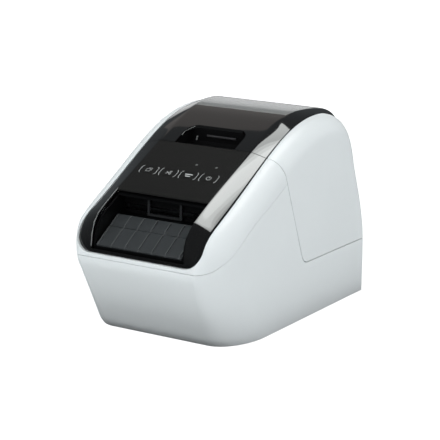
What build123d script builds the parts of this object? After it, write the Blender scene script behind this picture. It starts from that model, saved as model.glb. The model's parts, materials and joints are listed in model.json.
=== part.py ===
from build123d import *
import math
import os

# Desktop thermal label printer for 62 mm rolls.
# Frame: +Z up, +X to the printer's own right-hand side as seen from the front,
# front towards -Y, origin on the table at the centre of the footprint (mm).

# ---------------------------------------------------------------- driving dimensions
HALF_W = 62.65          # half of the 125.3 mm width
Y_FRONT = -106.5        # nose of the case, depth 213 mm
Y_REAR = 106.5
HEIGHT = 142.0
WALL = 2.2              # case wall
RIM_X = 48.3            # half width of the black inlay opening in the white case
CREASE_X = 35.8         # half width of the flat middle band of the inlay
ROUND_R = HALF_W - RIM_X
BODY_Z0 = 1.2           # underside of the case, above the table
SEAM_GAP = 0.5          # gap between the roll cover and its neighbours
LINE_GAP = 0.3          # hairline joint between fixed covers
HINGE_Y, HINGE_Z, HINGE_R = 104.15, 40.6, 2.3
SEAM_Z = 40.6           # height of the level lower edge of the roll cover
ROLL_Y, ROLL_Z, ROLL_R = 52.0, 57.0, 38.0
ROLL_HALF = 31.0        # 62 mm wide labels
PATH_Z = 84.3           # height of the label path at the print line
PLATEN_Y, PLATEN_R = -32.0, 6.0
PLATEN_Z = PATH_Z - PLATEN_R
GEAR_M = 0.8            # gear module
BUTTON_X = (-24.9, -9.3, 6.3, 22.2)
BUTTON_Y = -52.6
BUTTON_W, BUTTON_H, BUTTON_T = 11.8, 6.6, 2.2
CUT_TRAVEL = 5.2

os.makedirs("parts", exist_ok=True)


# ---------------------------------------------------------------- small helpers
def box(x0, x1, y0, y1, z0, z1):
    return Pos((x0 + x1) / 2, (y0 + y1) / 2, (z0 + z1) / 2) * Box(x1 - x0, y1 - y0, z1 - z0)


def prism_x(pts, x0, x1):
    wire = Wire.make_polygon([Vector(x0, y, z) for y, z in pts], close=True)
    return Solid.extrude(Face(wire), Vector(x1 - x0, 0, 0))


def cyl(p, axis, r, length):
    """Cylinder starting at p and running along axis."""
    pl = Plane(origin=p, z_dir=axis)
    return Solid.make_cylinder(r, length, pl)


def ring(p, axis, ro, ri, length):
    pl = Plane(origin=p, z_dir=axis)
    return Solid.make_cylinder(ro, length, pl) - Solid.make_cylinder(ri, length, pl)


def interp(v, table, key=0, val=1):
    """Linear interpolation in a list of rows, along a rising key column."""
    rows = sorted(table, key=lambda r: r[key])
    if v <= rows[0][key]:
        return rows[0][val]
    for a, b in zip(rows, rows[1:]):
        if a[key] <= v <= b[key]:
            t = (v - a[key]) / (b[key] - a[key]) if b[key] > a[key] else 0
            return a[val] + t * (b[val] - a[val])
    return rows[-1][val]


def offset_line(pts, dist):
    """Offsets an open (y, z) polyline to its right-hand side; dist may vary by point."""
    out = []
    for i, (y, z) in enumerate(pts):
        a = pts[max(i - 1, 0)]
        b = pts[min(i + 1, len(pts) - 1)]
        ty, tz = b[0] - a[0], b[1] - a[1]
        n = math.hypot(ty, tz)
        d = dist[i] if isinstance(dist, (list, tuple)) else dist
        out.append((y + tz / n * d, z - ty / n * d))
    return out


def save(name, shape):
    export_step(shape, f"parts/{name}.step")


def one(shape):
    """Keeps the largest solid of a result."""
    s = sorted(shape.solids(), key=lambda k: -k.volume)
    return s[0]


# ---------------------------------------------------------------- case envelope
# Side outline of the white case at its rim, front half from the table upwards.
FRONT = [(-80.3, 0.0), (-84.9, 9.0), (-89.9, 19.0), (-94.9, 29.0), (-99.9, 39.0), (-104.2, 47.6),
         (-106.0, 51.8), (-106.5, 54.5), (-106.3, 58.0), (-104.9, 63.5), (-101.9, 70.0),
         (-97.2, 76.3), (-92.2, 80.3), (-86.0, 83.5), (-80.0, 86.4), (-70.0, 91.4), (-60.0, 96.7),
         (-50.0, 102.1), (-40.0, 107.8), (-30.0, 113.4), (-20.0, 118.9), (-10.0, 124.1),
         (0.0, 128.6), (10.0, 132.2), (20.0, 134.9), (30.0, 136.9), (40.0, 138.1), (50.0, 138.5)]
REAR = [(106.5, 0.0), (106.1, 12.0), (105.6, 24.0), (105.0, 36.0), (104.2, 48.0), (103.4, 58.0),
        (102.7, 68.0), (101.9, 78.0), (100.8, 88.0), (99.1, 98.0), (96.6, 107.0), (93.2, 115.0),
        (88.9, 122.0), (84.0, 127.8), (78.0, 132.4), (70.0, 136.2), (60.0, 138.1), (50.0, 138.5)]
TOP_Z = 138.5


def dense(pts, n=240):
    """Smooth curve through an open (y, z) polyline, sampled finely."""
    e = Edge.make_spline([Vector(0, y, z) for y, z in pts])
    return [(p.Y, p.Z) for p in (e.position_at(i / n) for i in range(n + 1))]


FRONT_D = dense(FRONT)
REAR_D = dense(REAR)


def smooth(t):
    t = min(max(t, 0.0), 1.0)
    return t * t * (3 - 2 * t)


def rear_round(z):
    return 4.0 + (ROUND_R - 4.0) * smooth((z - 40.0) / 65.0)


def section(z, d):
    """Plan outline of the case at height z, inset by d: front and rear corners are quarter ellipses."""
    fo = offset_line(FRONT_D, d)
    ro = offset_line(REAR_D, -d)
    yf = interp(z, fo, 1, 0)
    yr = interp(z, ro, 1, 0)
    top = TOP_Z - d
    r = ROUND_R - d
    # width shrinks over the rounded shoulder
    zt = z - (top - r)
    w = HALF_W - d if zt <= 0 else RIM_X + math.sqrt(max(r * r - zt * zt, 0.04))
    # where the outline reaches full width
    if zt > 0:
        y_side_f, y_side_r = 47.0, 53.0
    else:
        sf = offset_line([p for p in FRONT_D if p[1] > 82.0], d + r)
        y_side_f = interp(z, sf, 1, 0) if z > sf[0][1] + 1 else None
        ra = [d + max(rear_round(p[1]) - d, 1.5) for p in REAR_D]
        sr = offset_line(REAR_D, [-v for v in ra])
        y_side_r = interp(z, sr, 1, 0)
    # front corner
    if z <= 54.5:
        t = z / 54.5
        rx = 24.0 + (18.5 - 24.0) * t
        ry = 43.0 + (33.0 - 43.0) * t
    else:
        t = smooth((z - 54.5) / 38.0)
        rx = 18.5 + (ROUND_R - 18.5) * t
        ry = 33.0
    rx = max(rx - d, 1.5)
    ry = max(ry - d, 1.5)
    if z > 92.5 or y_side_f is None and z > 60:
        rx = w - RIM_X
    if y_side_f is not None:
        t = smooth((z - 84.0) / 14.0)
        ry = ry * (1 - t) + (y_side_f - yf) * t
    if zt > 0:
        rx = w - RIM_X
        ry = y_side_f - yf
        rxr = w - RIM_X
    else:
        rxr = min(max(rear_round(z) - d, 1.5), w - 5)
    ryr = max(yr - y_side_r, 1.2)
    k = 0.5523
    pts = []
    # front line, front right corner, right side, rear right corner, rear line, and mirrored back
    a = (w - rx, yf)
    b = (w, yf + ry)
    c = (w, yr - ryr)
    e = (w - rxr, yr)

    def v(p, sx=1):
        return Vector(sx * p[0], p[1], z)
    edges = [
        Edge.make_line(v(a, -1), v(a)),
        Edge.make_bezier(v(a), v((a[0] + rx * k, a[1])), v((b[0], b[1] - ry * k)), v(b)),
        Edge.make_line(v(b), v(c)),
        Edge.make_bezier(v(c), v((c[0], c[1] + ryr * k)), v((e[0] + rxr * k, e[1])), v(e)),
        Edge.make_line(v(e), v(e, -1)),
        Edge.make_bezier(v(e, -1), v((e[0] + rxr * k, e[1]), -1), v((c[0], c[1] + ryr * k), -1), v(c, -1)),
        Edge.make_line(v(c, -1), v(b, -1)),
        Edge.make_bezier(v(b, -1), v((b[0], b[1] - ry * k), -1), v((a[0] + rx * k, a[1]), -1), v(a, -1)),
    ]
    return Wire(edges)


def envelope(d, z0):
    """Case outline: straight-sided leaning lower part, smooth lofted nose, shoulder and back above it."""
    top = TOP_Z - d
    mid = [28.0, 37.0, 46.0, 50.0, 54.5, 60.0, 66.0, 72.0, 78.0, 84.0, 92.0, 100.0, 108.0, 116.0]
    up = [top - r for r in (17.0, 13.5, 10.5, 7.8, 5.4, 3.4, 1.8, 0.8, 0.3)]
    mid = [m for m in mid if m < up[0] - 2.5]
    lower = Solid.make_loft([section(z, d) for z in (z0, 46.0)], True)
    upper = Solid.make_loft([section(z, d) for z in mid + up], False)
    upper = upper & box(-80, 80, -130, 130, 46.0, 160)
    return one(lower + upper)


W0 = envelope(0.0, BODY_Z0)
W1 = envelope(WALL, 0.2)
SHELL = W0 - W1


# ---------------------------------------------------------------- seams, in the side view
def seam_b(z, shift=0.0):
    """Sloping front edge of the roll cover."""
    return -7.9 - 0.43 * (z - 87.7) + shift


def yz(pts):
    return [Vector(0, y, z) for y, z in pts]


def profile_solid(edges, x0=-90, x1=90):
    f = Face(Wire(edges))
    f = f.moved(Location((x0, 0, 0)))
    return Solid.extrude(f, Vector(x1 - x0, 0, 0))


def cover_region(shift, top=170):
    """Everything behind and above the roll cover's lower and front edges."""
    zb = SEAM_Z + shift
    r = 5.0
    # rounded corner between the sloping and the level edge
    p1 = (seam_b(zb + r * 1.5, shift), zb + r * 1.5)
    c = (seam_b(zb, shift), zb)
    p2 = (c[0] + r * 1.2, zb)
    e = [Edge.make_line(*yz([(seam_b(top, shift), top), p1])),
         Edge.make_bezier(*yz([p1, c, p2])),
         Edge.make_line(*yz([p2, (130, zb)])),
         Edge.make_line(*yz([(130, zb), (130, top)])),
         Edge.make_line(*yz([(130, top), (seam_b(top, shift), top)]))]
    return profile_solid(e)


COVER_IN = cover_region(SEAM_GAP / 2)
COVER_OUT = cover_region(-SEAM_GAP / 2)

SEAM_A = [(-130.0, 56.2), (-118.0, 56.2), (-108.0, 56.2), (-101.0, 56.4), (-95.5, 57.6), (-90.0, 60.3), (-83.0, 64.9),
          (-73.0, 70.8), (-60.0, 78.6), (-46.0, 85.8), (-31.0, 92.4), (-20.0, 98.0), (-8.0, 104.5)]


def above_seam_a(shift, top=170):
    """Everything above the long curved joint between the front cover and the base."""
    pts = [(y, z + shift) for y, z in SEAM_A]
    e = [Edge.make_spline(yz(pts)),
         Edge.make_line(*yz([pts[-1], (pts[-1][0], top)])),
         Edge.make_line(*yz([(pts[-1][0], top), (pts[0][0], top)])),
         Edge.make_line(*yz([(pts[0][0], top), pts[0]]))]
    return profile_solid(e)


ABOVE_A = above_seam_a(LINE_GAP / 2)
ABOVE_A_OUT = above_seam_a(-LINE_GAP / 2)

# opening in the white case for the black inlay, a rounded rectangle in the front view
LIP_Z = 58.9


def inlay_window(half, z_low, r, y0, y1):
    s = Plane(origin=(0, y0, 0), x_dir=(1, 0, 0), z_dir=(0, 1, 0))
    z_high = 160.0
    h = z_high - z_low
    # x_dir x z_dir: local y runs towards -Z
    sk = s * (Pos(0, -(z_low + z_high) / 2) * RectangleRounded(2 * half, h, r))
    return Solid.extrude(sk.faces()[0], Vector(0, y1 - y0, 0))


WINDOW = inlay_window(RIM_X, LIP_Z, 12.0, -130, 130)
WINDOW_IN = inlay_window(RIM_X - LINE_GAP, LIP_Z + LINE_GAP, 11.7, -130, 130)
# the window ends below the rear wall's top edge
WINDOW_CUT = WINDOW & prism_x([(-130, 50), (60, 50), (78, 100), (84, 113.0), (130, 113.0), (130, 160), (-130, 160)], -60, 60)

# ---------------------------------------------------------------- black inlay and crown
# stations: crease point, rim point (y, z), from the lip over the nose and back
STATIONS = [((-104.3, 58.6), (-103.6, 58.6)), ((-104.2, 63.5), (-102.9, 63.3)), ((-103.3, 71.5), (-100.4, 69.6)),
            ((-100.8, 78.8), (-96.7, 75.6)), ((-96.4, 84.0), (-91.9, 80.2)), ((-90.0, 88.1), (-87.0, 83.0)),
            ((-82.0, 92.3), (-82.0, 85.4)), ((-73.6, 96.7), (-73.6, 89.6)), ((-64.0, 101.4), (-64.0, 94.6)),
            ((-52.0, 107.2), (-52.0, 101.0)), ((-40.0, 113.1), (-40.0, 107.8)), ((-28.0, 119.0), (-28.0, 114.5)),
            ((-16.0, 124.8), (-16.0, 121.0)), ((-4.0, 130.2), (-4.0, 126.9)), ((8.0, 135.2), (8.0, 131.6)),
            ((18.0, 138.7), (18.0, 134.5)), ((28.0, 141.1), (28.0, 136.6)), ((38.0, 142.0), (38.0, 137.9)),
            ((50.0, 142.0), (50.0, 138.5)), ((60.0, 141.8), (60.0, 138.1)), ((68.0, 140.6), (68.0, 136.8)),
            ((76.0, 137.6), (76.0, 133.5)), ((83.0, 132.4), (83.0, 128.8)), ((89.0, 124.4), (89.0, 121.9)),
            ((93.8, 114.2), (93.8, 113.7))]


def inlay_band(t0, depth, half=RIM_X - LINE_GAP, crease=CREASE_X):
    """Band across the top of the printer: flat in the middle, bevelled from the crease to the rim.
    t0 sinks the outer surface, depth is how deep the band reaches."""
    sections = []
    for (cy, cz), (ry, rz) in STATIONS:
        dy, dz = ry - cy, rz - cz
        n = math.hypot(dy, dz)
        if abs(dy) < 1e-6:
            dy, dz = 0.0, -1.0
        else:
            dy, dz = dy / n, dz / n
        c = (cy + dy * t0, cz + dz * t0)
        r = (ry + dy * t0, rz + dz * t0)
        b = (cy + dy * depth, cz + dz * depth)
        p = [(-half, *b), (-half, *r), (-crease, *c), (crease, *c), (half, *r), (half, *b)]
        sections.append(Wire.make_polygon([Vector(*q) for q in p], close=True))
    return Solid.make_loft(sections, False)


BAND = inlay_band(0.0, 8.0)
BAND_IN = inlay_band(2.0, 9.0, half=RIM_X - LINE_GAP - 2.0)
BAND_SHELL = BAND - BAND_IN
BAND_WIN = (BAND_SHELL & WINDOW_IN) & prism_x([(-130, 55), (60, 55), (78, 90), (80, 113.3), (130, 113.3), (130, 160), (-130, 160)], -60, 60)

FRONT_BAND = BAND_WIN - cover_region(-SEAM_GAP / 2)
COVER_BAND = BAND_WIN & COVER_IN

# ---------------------------------------------------------------- white case
base_shell = SHELL - COVER_OUT - ABOVE_A_OUT
# the sloping seam ends the front cover, and its rear stub joins the base below seam A
front_cover = (SHELL & ABOVE_A) - COVER_OUT - WINDOW_CUT
cover_white = (SHELL & COVER_IN) - WINDOW_CUT

# flat of the sloping surfaces, for pieces set in the panel
SLOPE = math.atan2(118.0 - 96.7, -30.0 + 73.6)


def on_panel(x, y, lift=0.0):
    """Plane on the control panel at x, y, local x across, local y up the slope, z outwards."""
    z = 96.7 + (y + 73.6) * 0.4885
    n = Vector(0, -math.sin(math.atan(0.4885)), math.cos(math.atan(0.4885)))
    o = Vector(x, y, z) + n * lift
    return Plane(origin=o, x_dir=(1, 0, 0), z_dir=n)


def pad(x, y, w, h, t, lift, r=1.6):
    sk = on_panel(x, y, lift - t) * RectangleRounded(w, h, r)
    n = on_panel(x, y).z_dir
    return Solid.extrude(sk.faces()[0], n * t)


# ---------------------------------------------------------------- front inlay pieces
panel_zone = prism_x([(-73.6 - 4.0, 86.0), (-73.6 - 0.3, 97.2), (-73.9, 150), (20, 150), (20, 86)], -CREASE_X + 0.1, CREASE_X - 0.1)
control_panel = FRONT_BAND & panel_zone
for bx in BUTTON_X:
    control_panel = control_panel - pad(bx, BUTTON_Y, BUTTON_W + 0.6, BUTTON_H + 0.6, 14, 6, 1.9)
LED_POS = [(6.0, -41.6), (21.6, -41.8)]
for lx, ly in LED_POS:
    control_panel = control_panel - cyl(on_panel(lx, ly, -8).origin, on_panel(lx, ly).z_dir, 1.05, 14)

recess_zone = prism_x([(-130, 61.6), (-60, 61.6), (-60, 97.5), (-73.2, 97.5), (-73.2, 150), (-130, 150)], -CREASE_X - 0.1, CREASE_X + 0.1)
keep_panel_zone = prism_x([(-73.2, 80), (-73.2, 150), (20, 150), (20, 80)], -CREASE_X - 0.1, CREASE_X + 0.1)
front_bezel = FRONT_BAND - keep_panel_zone - recess_zone

# matte black outlet recess: side walls, back wall with the label slot, floor under the ramps
tub_out = prism_x([(-102.0, 62.6), (-101.2, 71.0), (-98.4, 77.4), (-94.0, 81.8), (-88.4, 85.0), (-76.2, 91.6),
                   (-73.8, 93.7), (-70.5, 95.5), (-66.5, 97.3), (-66.5, 73.0), (-74.0, 72.0), (-99.5, 59.6), (-101.4, 59.8)], -CREASE_X + 0.4, CREASE_X - 0.4)
tub_in = prism_x([(-120, 63.2), (-102.0, 63.2), (-77.2, 79.2), (-69.0, 80.2), (-69.0, 93.0), (-75.0, 92.0), (-75.0, 120), (-120, 120)], -CREASE_X + 2.0, CREASE_X - 2.0)
slot = box(-33, 33, -75, -60, 82.2, 86.4)
outlet_housing = tub_out - tub_in - slot


# ribbed ramps in the recess
def ramp(y0, z0, y1, z1, thick, half):
    ln = math.hypot(y1 - y0, z1 - z0)
    ty, tz = (y1 - y0) / ln, (z1 - z0) / ln
    ny, nz = -tz, ty
    s = prism_x([(y0, z0), (y1, z1), (y1 + ny * thick, z1 + nz * thick), (y0 + ny * thick, z0 + nz * thick)], -half, half)
    x = -half + 1.1
    while x < half - 0.5:
        rib = prism_x([(y0 + ny * thick + ty * 0.8, z0 + nz * thick + tz * 0.8), (y1 + ny * thick - ty * 0.8, z1 + nz * thick - tz * 0.8),
                       (y1 + ny * (thick + 0.7) - ty * 1.8, z1 + nz * (thick + 0.7) - tz * 1.8),
                       (y0 + ny * (thick + 0.7) + ty * 1.8, z0 + nz * (thick + 0.7) + tz * 1.8)], x - 0.35, x + 0.35)
        s = s + rib
        x += 10.47
    return s


R0 = (-101.9, 63.35)
R1 = (-77.3, 79.25)


def ramp_pt(t):
    return R0[0] + (R1[0] - R0[0]) * t, R0[1] + (R1[1] - R0[1]) * t


label_ramp_front = ramp(*ramp_pt(0.0), *ramp_pt(0.60), 1.2, 32.9)
label_ramp_rear = ramp(*ramp_pt(0.615), *ramp_pt(1.0), 1.2, 32.9)

# wire-like guide in front of the slot
gx, gy = 12.6, -70.6
exit_guide = (box(-gx - 0.8, -gx + 0.8, gy - 0.8, gy + 0.8, 80.4, 91.8) + box(gx - 0.8, gx + 0.8, gy - 0.8, gy + 0.8, 80.4, 91.8)
              + box(-gx - 0.8, gx + 0.8, gy - 0.8, gy + 0.8, 80.4, 81.9))

# ---------------------------------------------------------------- buttons and lights
BUTTONS = ["feed_button", "cut_button", "mode_button", "power_button"]
for name, bx in zip(BUTTONS, BUTTON_X):
    cap = pad(bx, BUTTON_Y, BUTTON_W, BUTTON_H, BUTTON_T, 0.0, 1.6)
    flange = pad(bx, BUTTON_Y, BUTTON_W + 1.6, BUTTON_H + 1.6, 0.8, -2.35, 1.8)
    stem = pad(bx, BUTTON_Y, 3.0, 3.0, 2.6, -2.0, 0.6)
    save(name, one(cap + flange + stem))
lights = []
for lx, ly in LED_POS:
    o = on_panel(lx, ly, -5.0)
    lights.append(cyl(o.origin, o.z_dir, 0.9, 4.95))
save("status_lights", Compound(lights))

button_board = pad(-1.3, -50.0, 66.0, 22.0, 1.4, -6.1, 1.0)
keys = []
for bx in BUTTON_X:
    keys.append(pad(bx, BUTTON_Y, 5.0, 5.0, 0.5, -5.55, 0.8))
for k in keys:
    button_board = button_board + k
save("button_board", button_board)

# ---------------------------------------------------------------- roll cover pieces
BORDER_Y = 25.0


def horn(side):
    """Black horn beside the grey crown, seen from above."""
    s = side
    pts = [(s * 36.6, BORDER_Y), (s * 38.4, 31), (s * 39.2, 44), (s * 41.0, 55), (s * 43.8, 66), (s * 46.6, 77),
           (s * 48.2, 83.5), (s * 60, 83.5), (s * 60, BORDER_Y)]
    e = [Edge.make_spline([Vector(x, y, 90) for x, y in pts[:7]]),
         Edge.make_line(Vector(*pts[6], 90), Vector(*pts[7], 90)),
         Edge.make_line(Vector(*pts[7], 90), Vector(*pts[8], 90)),
         Edge.make_line(Vector(*pts[8], 90), Vector(*pts[0], 90))]
    f = Face(Wire(e))
    if f.normal_at().Z < 0:
        f = -f
    return Solid.extrude(f, Vector(0, 0, 70))


black_zone = box(-60, 60, -60, BORDER_Y, 60, 170) + horn(1) + horn(-1)
recess_cut = None
rc = [(-23.8, -30), (23.8, -30), (23.8, -9.0), (17.6, -1.6), (-17.6, -1.6), (-23.8, -9.0)]
f = Face(Wire.make_polygon([Vector(x, y, 100) for x, y in rc], close=True))
recess_cut = Solid.extrude(f if f.normal_at().Z > 0 else -f, Vector(0, 0, 60))
cover_top_panel = (COVER_BAND & black_zone) - recess_cut
cover_crown = COVER_BAND - black_zone
# hairline between the two
cover_crown = cover_crown - box(-38.4, 38.4, BORDER_Y - 1, BORDER_Y + 0.12, 100, 160)

# finger recess cup under the panel
cup_out = prism_x([(seam_b(112, 0.4), 112.0), (seam_b(122.0, 0.4), 122.0), (0.2, 130.6), (0.2, 120.0), (-4, 112.0)], -25.6, 25.6)
cup_in = prism_x([(-40, 114.0), (-5.6, 114.0), (-1.6, 120.5), (-1.6, 150.0), (-40, 150)], -23.8, 23.8)
finger_recess = (cup_out - cup_in) & inlay_band(2.1, 40.0, half=RIM_X - 3)
grip_bar = box(-20, 20, -13.2, -11.6, 114.0, 119.5)
finger_recess = one(finger_recess + grip_bar)

# dark inner liner of the roll cover with two ribs and the latch hooks
W_L = envelope(WALL + 0.4, 0.5)
W_L2 = envelope(WALL + 2.2, 0.5)
liner_zone = prism_x([(8, 62), (97, 62), (97, 100), (40, 126), (8, 112)], -60.2, 60.2)
cover_liner = (W_L - W_L2) & liner_zone & COVER_IN
cover_liner = cover_liner - box(-200, 200, -200, 12, 0, 200)

hooks = []
for sx in (-1, 1):
    hooks.append(prism_x([(-3.0, 104.0), (3.0, 104.0), (1.0, 88.0), (-12.0, 85.5), (-12.0, 88.5), (-5.0, 91.0)],
                         *sorted((sx * 57.6, sx * 60.4))))
save("latch_hooks", Compound(hooks))

# ---------------------------------------------------------------- hinge
cover_white = cover_white - box(-70, 70, HINGE_Y - 0.35, 110, 30, HINGE_Z + 3.4)
for a, b in [(-50.4, -27.8), (27.8, 50.4)]:
    cover_white = cover_white - cyl(Vector(a, HINGE_Y, HINGE_Z), Vector(1, 0, 0), HINGE_R + 0.5, b - a)
knuckle_x = [(-44, -34), (34, 44)]
for a, b in knuckle_x:
    k = ring(Vector(a, HINGE_Y, HINGE_Z), Vector(1, 0, 0), HINGE_R, 1.05, b - a)
    arm = box(a, b, HINGE_Y - 3.6, HINGE_Y - 0.4, HINGE_Z + 1.4, HINGE_Z + 6.0)
    arm = arm - cyl(Vector(a - 1, HINGE_Y, HINGE_Z), Vector(1, 0, 0), 1.05, b - a + 2)
    cover_white = cover_white + k + arm
for a, b in [(-50.2, -28.0), (28.0, 50.2)]:
    base_shell = base_shell - cyl(Vector(a, HINGE_Y, HINGE_Z), Vector(1, 0, 0), HINGE_R + 0.5, b - a)
for a, b in [(-49.6, -44.4), (-33.6, -28.4), (28.4, 33.6), (44.4, 49.6)]:
    k = ring(Vector(a, HINGE_Y, HINGE_Z), Vector(1, 0, 0), HINGE_R, 1.0, b - a)
    arm = box(a, b, HINGE_Y - 2.2, HINGE_Y + 0.6, HINGE_Z - 5.0, HINGE_Z - 1.4)
    base_shell = base_shell + k + arm
pins = [cyl(Vector(-50.0, HINGE_Y, HINGE_Z), Vector(1, 0, 0), 1.0, 22.0), cyl(Vector(28.0, HINGE_Y, HINGE_Z), Vector(1, 0, 0), 1.0, 22.0)]
save("hinge_pins", Compound(pins))

# inside ledge that carries the fixed covers along the seams
lip_in = envelope(WALL, 0.5)
lip_in2 = envelope(WALL + 1.4, 0.5)
side_ledge = (lip_in - lip_in2) & prism_x([(14, 34), (96, 34), (96, 39.8), (14, 39.8)], -70, 70)
base_shell = base_shell + side_ledge

# ---------------------------------------------------------------- mains inlet and data socket openings in the rear wall
BOSSES = [(-54.6, -20.0), (54.6, -20.0), (-54.6, 84.0), (54.6, 84.0)]
for bx, by in BOSSES:
    s = 1 if bx > 0 else -1
    boss = cyl(Vector(bx, by, 4.4), Vector(0, 0, 1), 4.2, 14.0) + box(*sorted((bx, s * 61.4)), by - 1.2, by + 1.2, 4.4, 18.4)
    base_shell = base_shell + boss - cyl(Vector(bx, by, 4.0), Vector(0, 0, 1), 1.45, 11.0)
inlet_cut = box(-46, -28, 95, 112, 10.0, 21.0)
usb_cut = box(30.2, 42.6, 95, 112, 9.2, 20.8)
base_shell = base_shell - inlet_cut - usb_cut

save("base_shell", one(base_shell))
save("front_cover", one(front_cover))
save("cover_shell", one(cover_white))
save("cover_top_panel", one(cover_top_panel))
save("cover_crown", one(cover_crown))
save("finger_recess", finger_recess)
save("cover_liner", one(cover_liner))
save("control_panel", one(control_panel))
save("front_bezel", one(front_bezel))
save("outlet_housing", one(outlet_housing))
save("label_ramp_front", label_ramp_front)
save("label_ramp_rear", label_ramp_rear)
save("exit_guide", exit_guide)
for nm, o in dict(base_shell=base_shell, front_cover=front_cover, cover_white=cover_white, cover_top_panel=cover_top_panel,
                  cover_crown=cover_crown, control_panel=control_panel, front_bezel=front_bezel, outlet_housing=outlet_housing,
                  cover_liner=cover_liner).items():
    print(nm, [round(k.volume) for k in o.solids()], all(k.is_valid for k in o.solids()))


# ---------------------------------------------------------------- underside
plate = envelope(WALL + 0.3, 0.6) & box(-80, 80, -130, 130, 1.6, 4.0)
for bx, by in BOSSES:
    plate = plate - cyl(Vector(bx, by, 0), Vector(0, 0, 1), 1.7, 6) - cyl(Vector(bx, by, 0), Vector(0, 0, 1), 3.4, 2.8)
for i in range(6):
    plate = plate - box(-28 + i * 10, -22 + i * 10, 30, 44, 0, 6)
save("bottom_plate", one(plate))
FEET = [(-47, -44), (47, -44), (-47, 92), (47, 92)]
feet = []
for fx, fy in FEET:
    ft = Pos(fx, fy, 0.8) * Cylinder(6.5, 1.6)
    feet.append(ft.solids()[0])
save("rubber_feet", Compound(feet))
screws = []
for bx, by in BOSSES:
    sc = cyl(Vector(bx, by, 1.75), Vector(0, 0, 1), 3.1, 1.05) + cyl(Vector(bx, by, 2.8), Vector(0, 0, 1), 1.4, 11.5)
    sc = sc - box(bx - 0.35, bx + 0.35, by - 1.8, by + 1.8, 1.7, 2.3) - box(bx - 1.8, bx + 1.8, by - 0.35, by + 0.35, 1.7, 2.3)
    screws.append(one(sc))
save("case_screws", Compound(screws))


# ---------------------------------------------------------------- gears
def gear(cy, cz, x0, x1, teeth, phase, bore, hub=None):
    """Spur gear about the X axis; phase is the angle of a tooth centre, from +Y towards +Z."""
    rp = GEAR_M * teeth / 2
    ra, rf = rp + 0.85 * GEAR_M, rp - 1.15 * GEAR_M
    pts = []
    pitch = 2 * math.pi / teeth
    half_p = pitch * 0.232
    for i in range(teeth):
        c = phase + i * pitch
        half_a = half_p * 0.44 * rp / ra
        half_f = half_p * 1.5
        for r, h in ((rf, -half_f), (rp, -half_p), (ra, -half_a), (ra, half_a), (rp, half_p), (rf, half_f)):
            pts.append((cy + r * math.cos(c + h), cz + r * math.sin(c + h)))
    g = prism_x(pts, x0, x1)
    if hub:
        g = g + cyl(Vector(x0 - hub[1], cy, cz), Vector(1, 0, 0), hub[0], x1 - x0 + hub[1])
    if bore:
        g = g - cyl(Vector(x0 - 5, cy, cz), Vector(1, 0, 0), bore, x1 - x0 + 10)
    return g


Z_PLATEN, Z_IDLER, Z_PINION = 20, 26, 12
A1, A2 = math.radians(250), math.radians(200)
D1 = GEAR_M * (Z_PLATEN + Z_IDLER) / 2 + 0.06
D2 = GEAR_M * (Z_IDLER + Z_PINION) / 2 + 0.06
IDLER = (PLATEN_Y + D1 * math.cos(A1), PLATEN_Z + D1 * math.sin(A1))
MOTOR = (IDLER[0] + D2 * math.cos(A2), IDLER[1] + D2 * math.sin(A2))
# tooth of the platen gear points at the idler, gap of the idler faces it, and so on
ph_platen = A1
ph_idler = A1 + math.pi + math.pi / Z_IDLER
# nearest idler tooth phase along the line to the motor
k = (A2 - ph_idler) / (2 * math.pi / Z_IDLER)
frac = k - math.floor(k)
# pinion phase so that its teeth sit in the idler's gaps
ph_pinion = A2 + math.pi + (frac - 0.5) * (2 * math.pi / Z_PINION)
GX0, GX1 = 40.5, 44.5

# ---------------------------------------------------------------- print mechanism frame
side = [(-64, 28), (-64, 94), (-31, 110), (-16, 103), (-6, 80), (-6, 28)]
chassis = prism_x(side, -38.4, -36.4) + prism_x(side, 36.4, 38.4) + box(-38.4, 38.4, -64, -6, 28, 30)
chassis = chassis + box(-37, 37, -36, -28, 103.0, 104.6) + box(-37, 37, -10, -8, 60, 74)
for sx in (-1, 1):
    chassis = chassis - cyl(Vector(sx * 37.4 - 3, PLATEN_Y, PLATEN_Z), Vector(1, 0, 0), 4.4, 6)
# window for the blade carriage and clearance for the motor shaft
chassis = chassis - box(-40, -35, -57.2, -52.4, 79.5, 98.5)
chassis = chassis - cyl(Vector(34, MOTOR[0], MOTOR[1]), Vector(1, 0, 0), 4.0, 8)
chassis = chassis + cyl(Vector(38.0, IDLER[0], IDLER[1]), Vector(1, 0, 0), 2.0, 8.2)
chassis = chassis + box(-56.0, -38.0, -49.3, -47.8, 79.5, 97.4) - cyl(Vector(-47, -50, 89), Vector(0, 1, 0), 4.0, 4)
chassis = chassis + box(-56.0, -38.0, -49.3, -38, 79.5, 80.9)
# feet of the frame down to the bottom plate
for px, py in ((-34, -60), (34, -60), (-34, -10), (34, -10)):
    chassis = chassis + cyl(Vector(px, py, 4.0), Vector(0, 0, 1), 2.6, 24.5)
save("print_chassis", one(chassis))
bushes = []
for sx in (-1, 1):
    bushes.append((ring(Vector(sx * 37.4 - 1.3, PLATEN_Y, PLATEN_Z), Vector(1, 0, 0), 4.38, 2.56, 2.6)
                   + ring(Vector(*( [36.0 - 0.9, PLATEN_Y, PLATEN_Z] if sx > 0 else [-36.0, PLATEN_Y, PLATEN_Z])), Vector(1, 0, 0), 5.4, 2.56, 0.9)).solids()[0])
save("platen_bushes", Compound(bushes))

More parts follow.
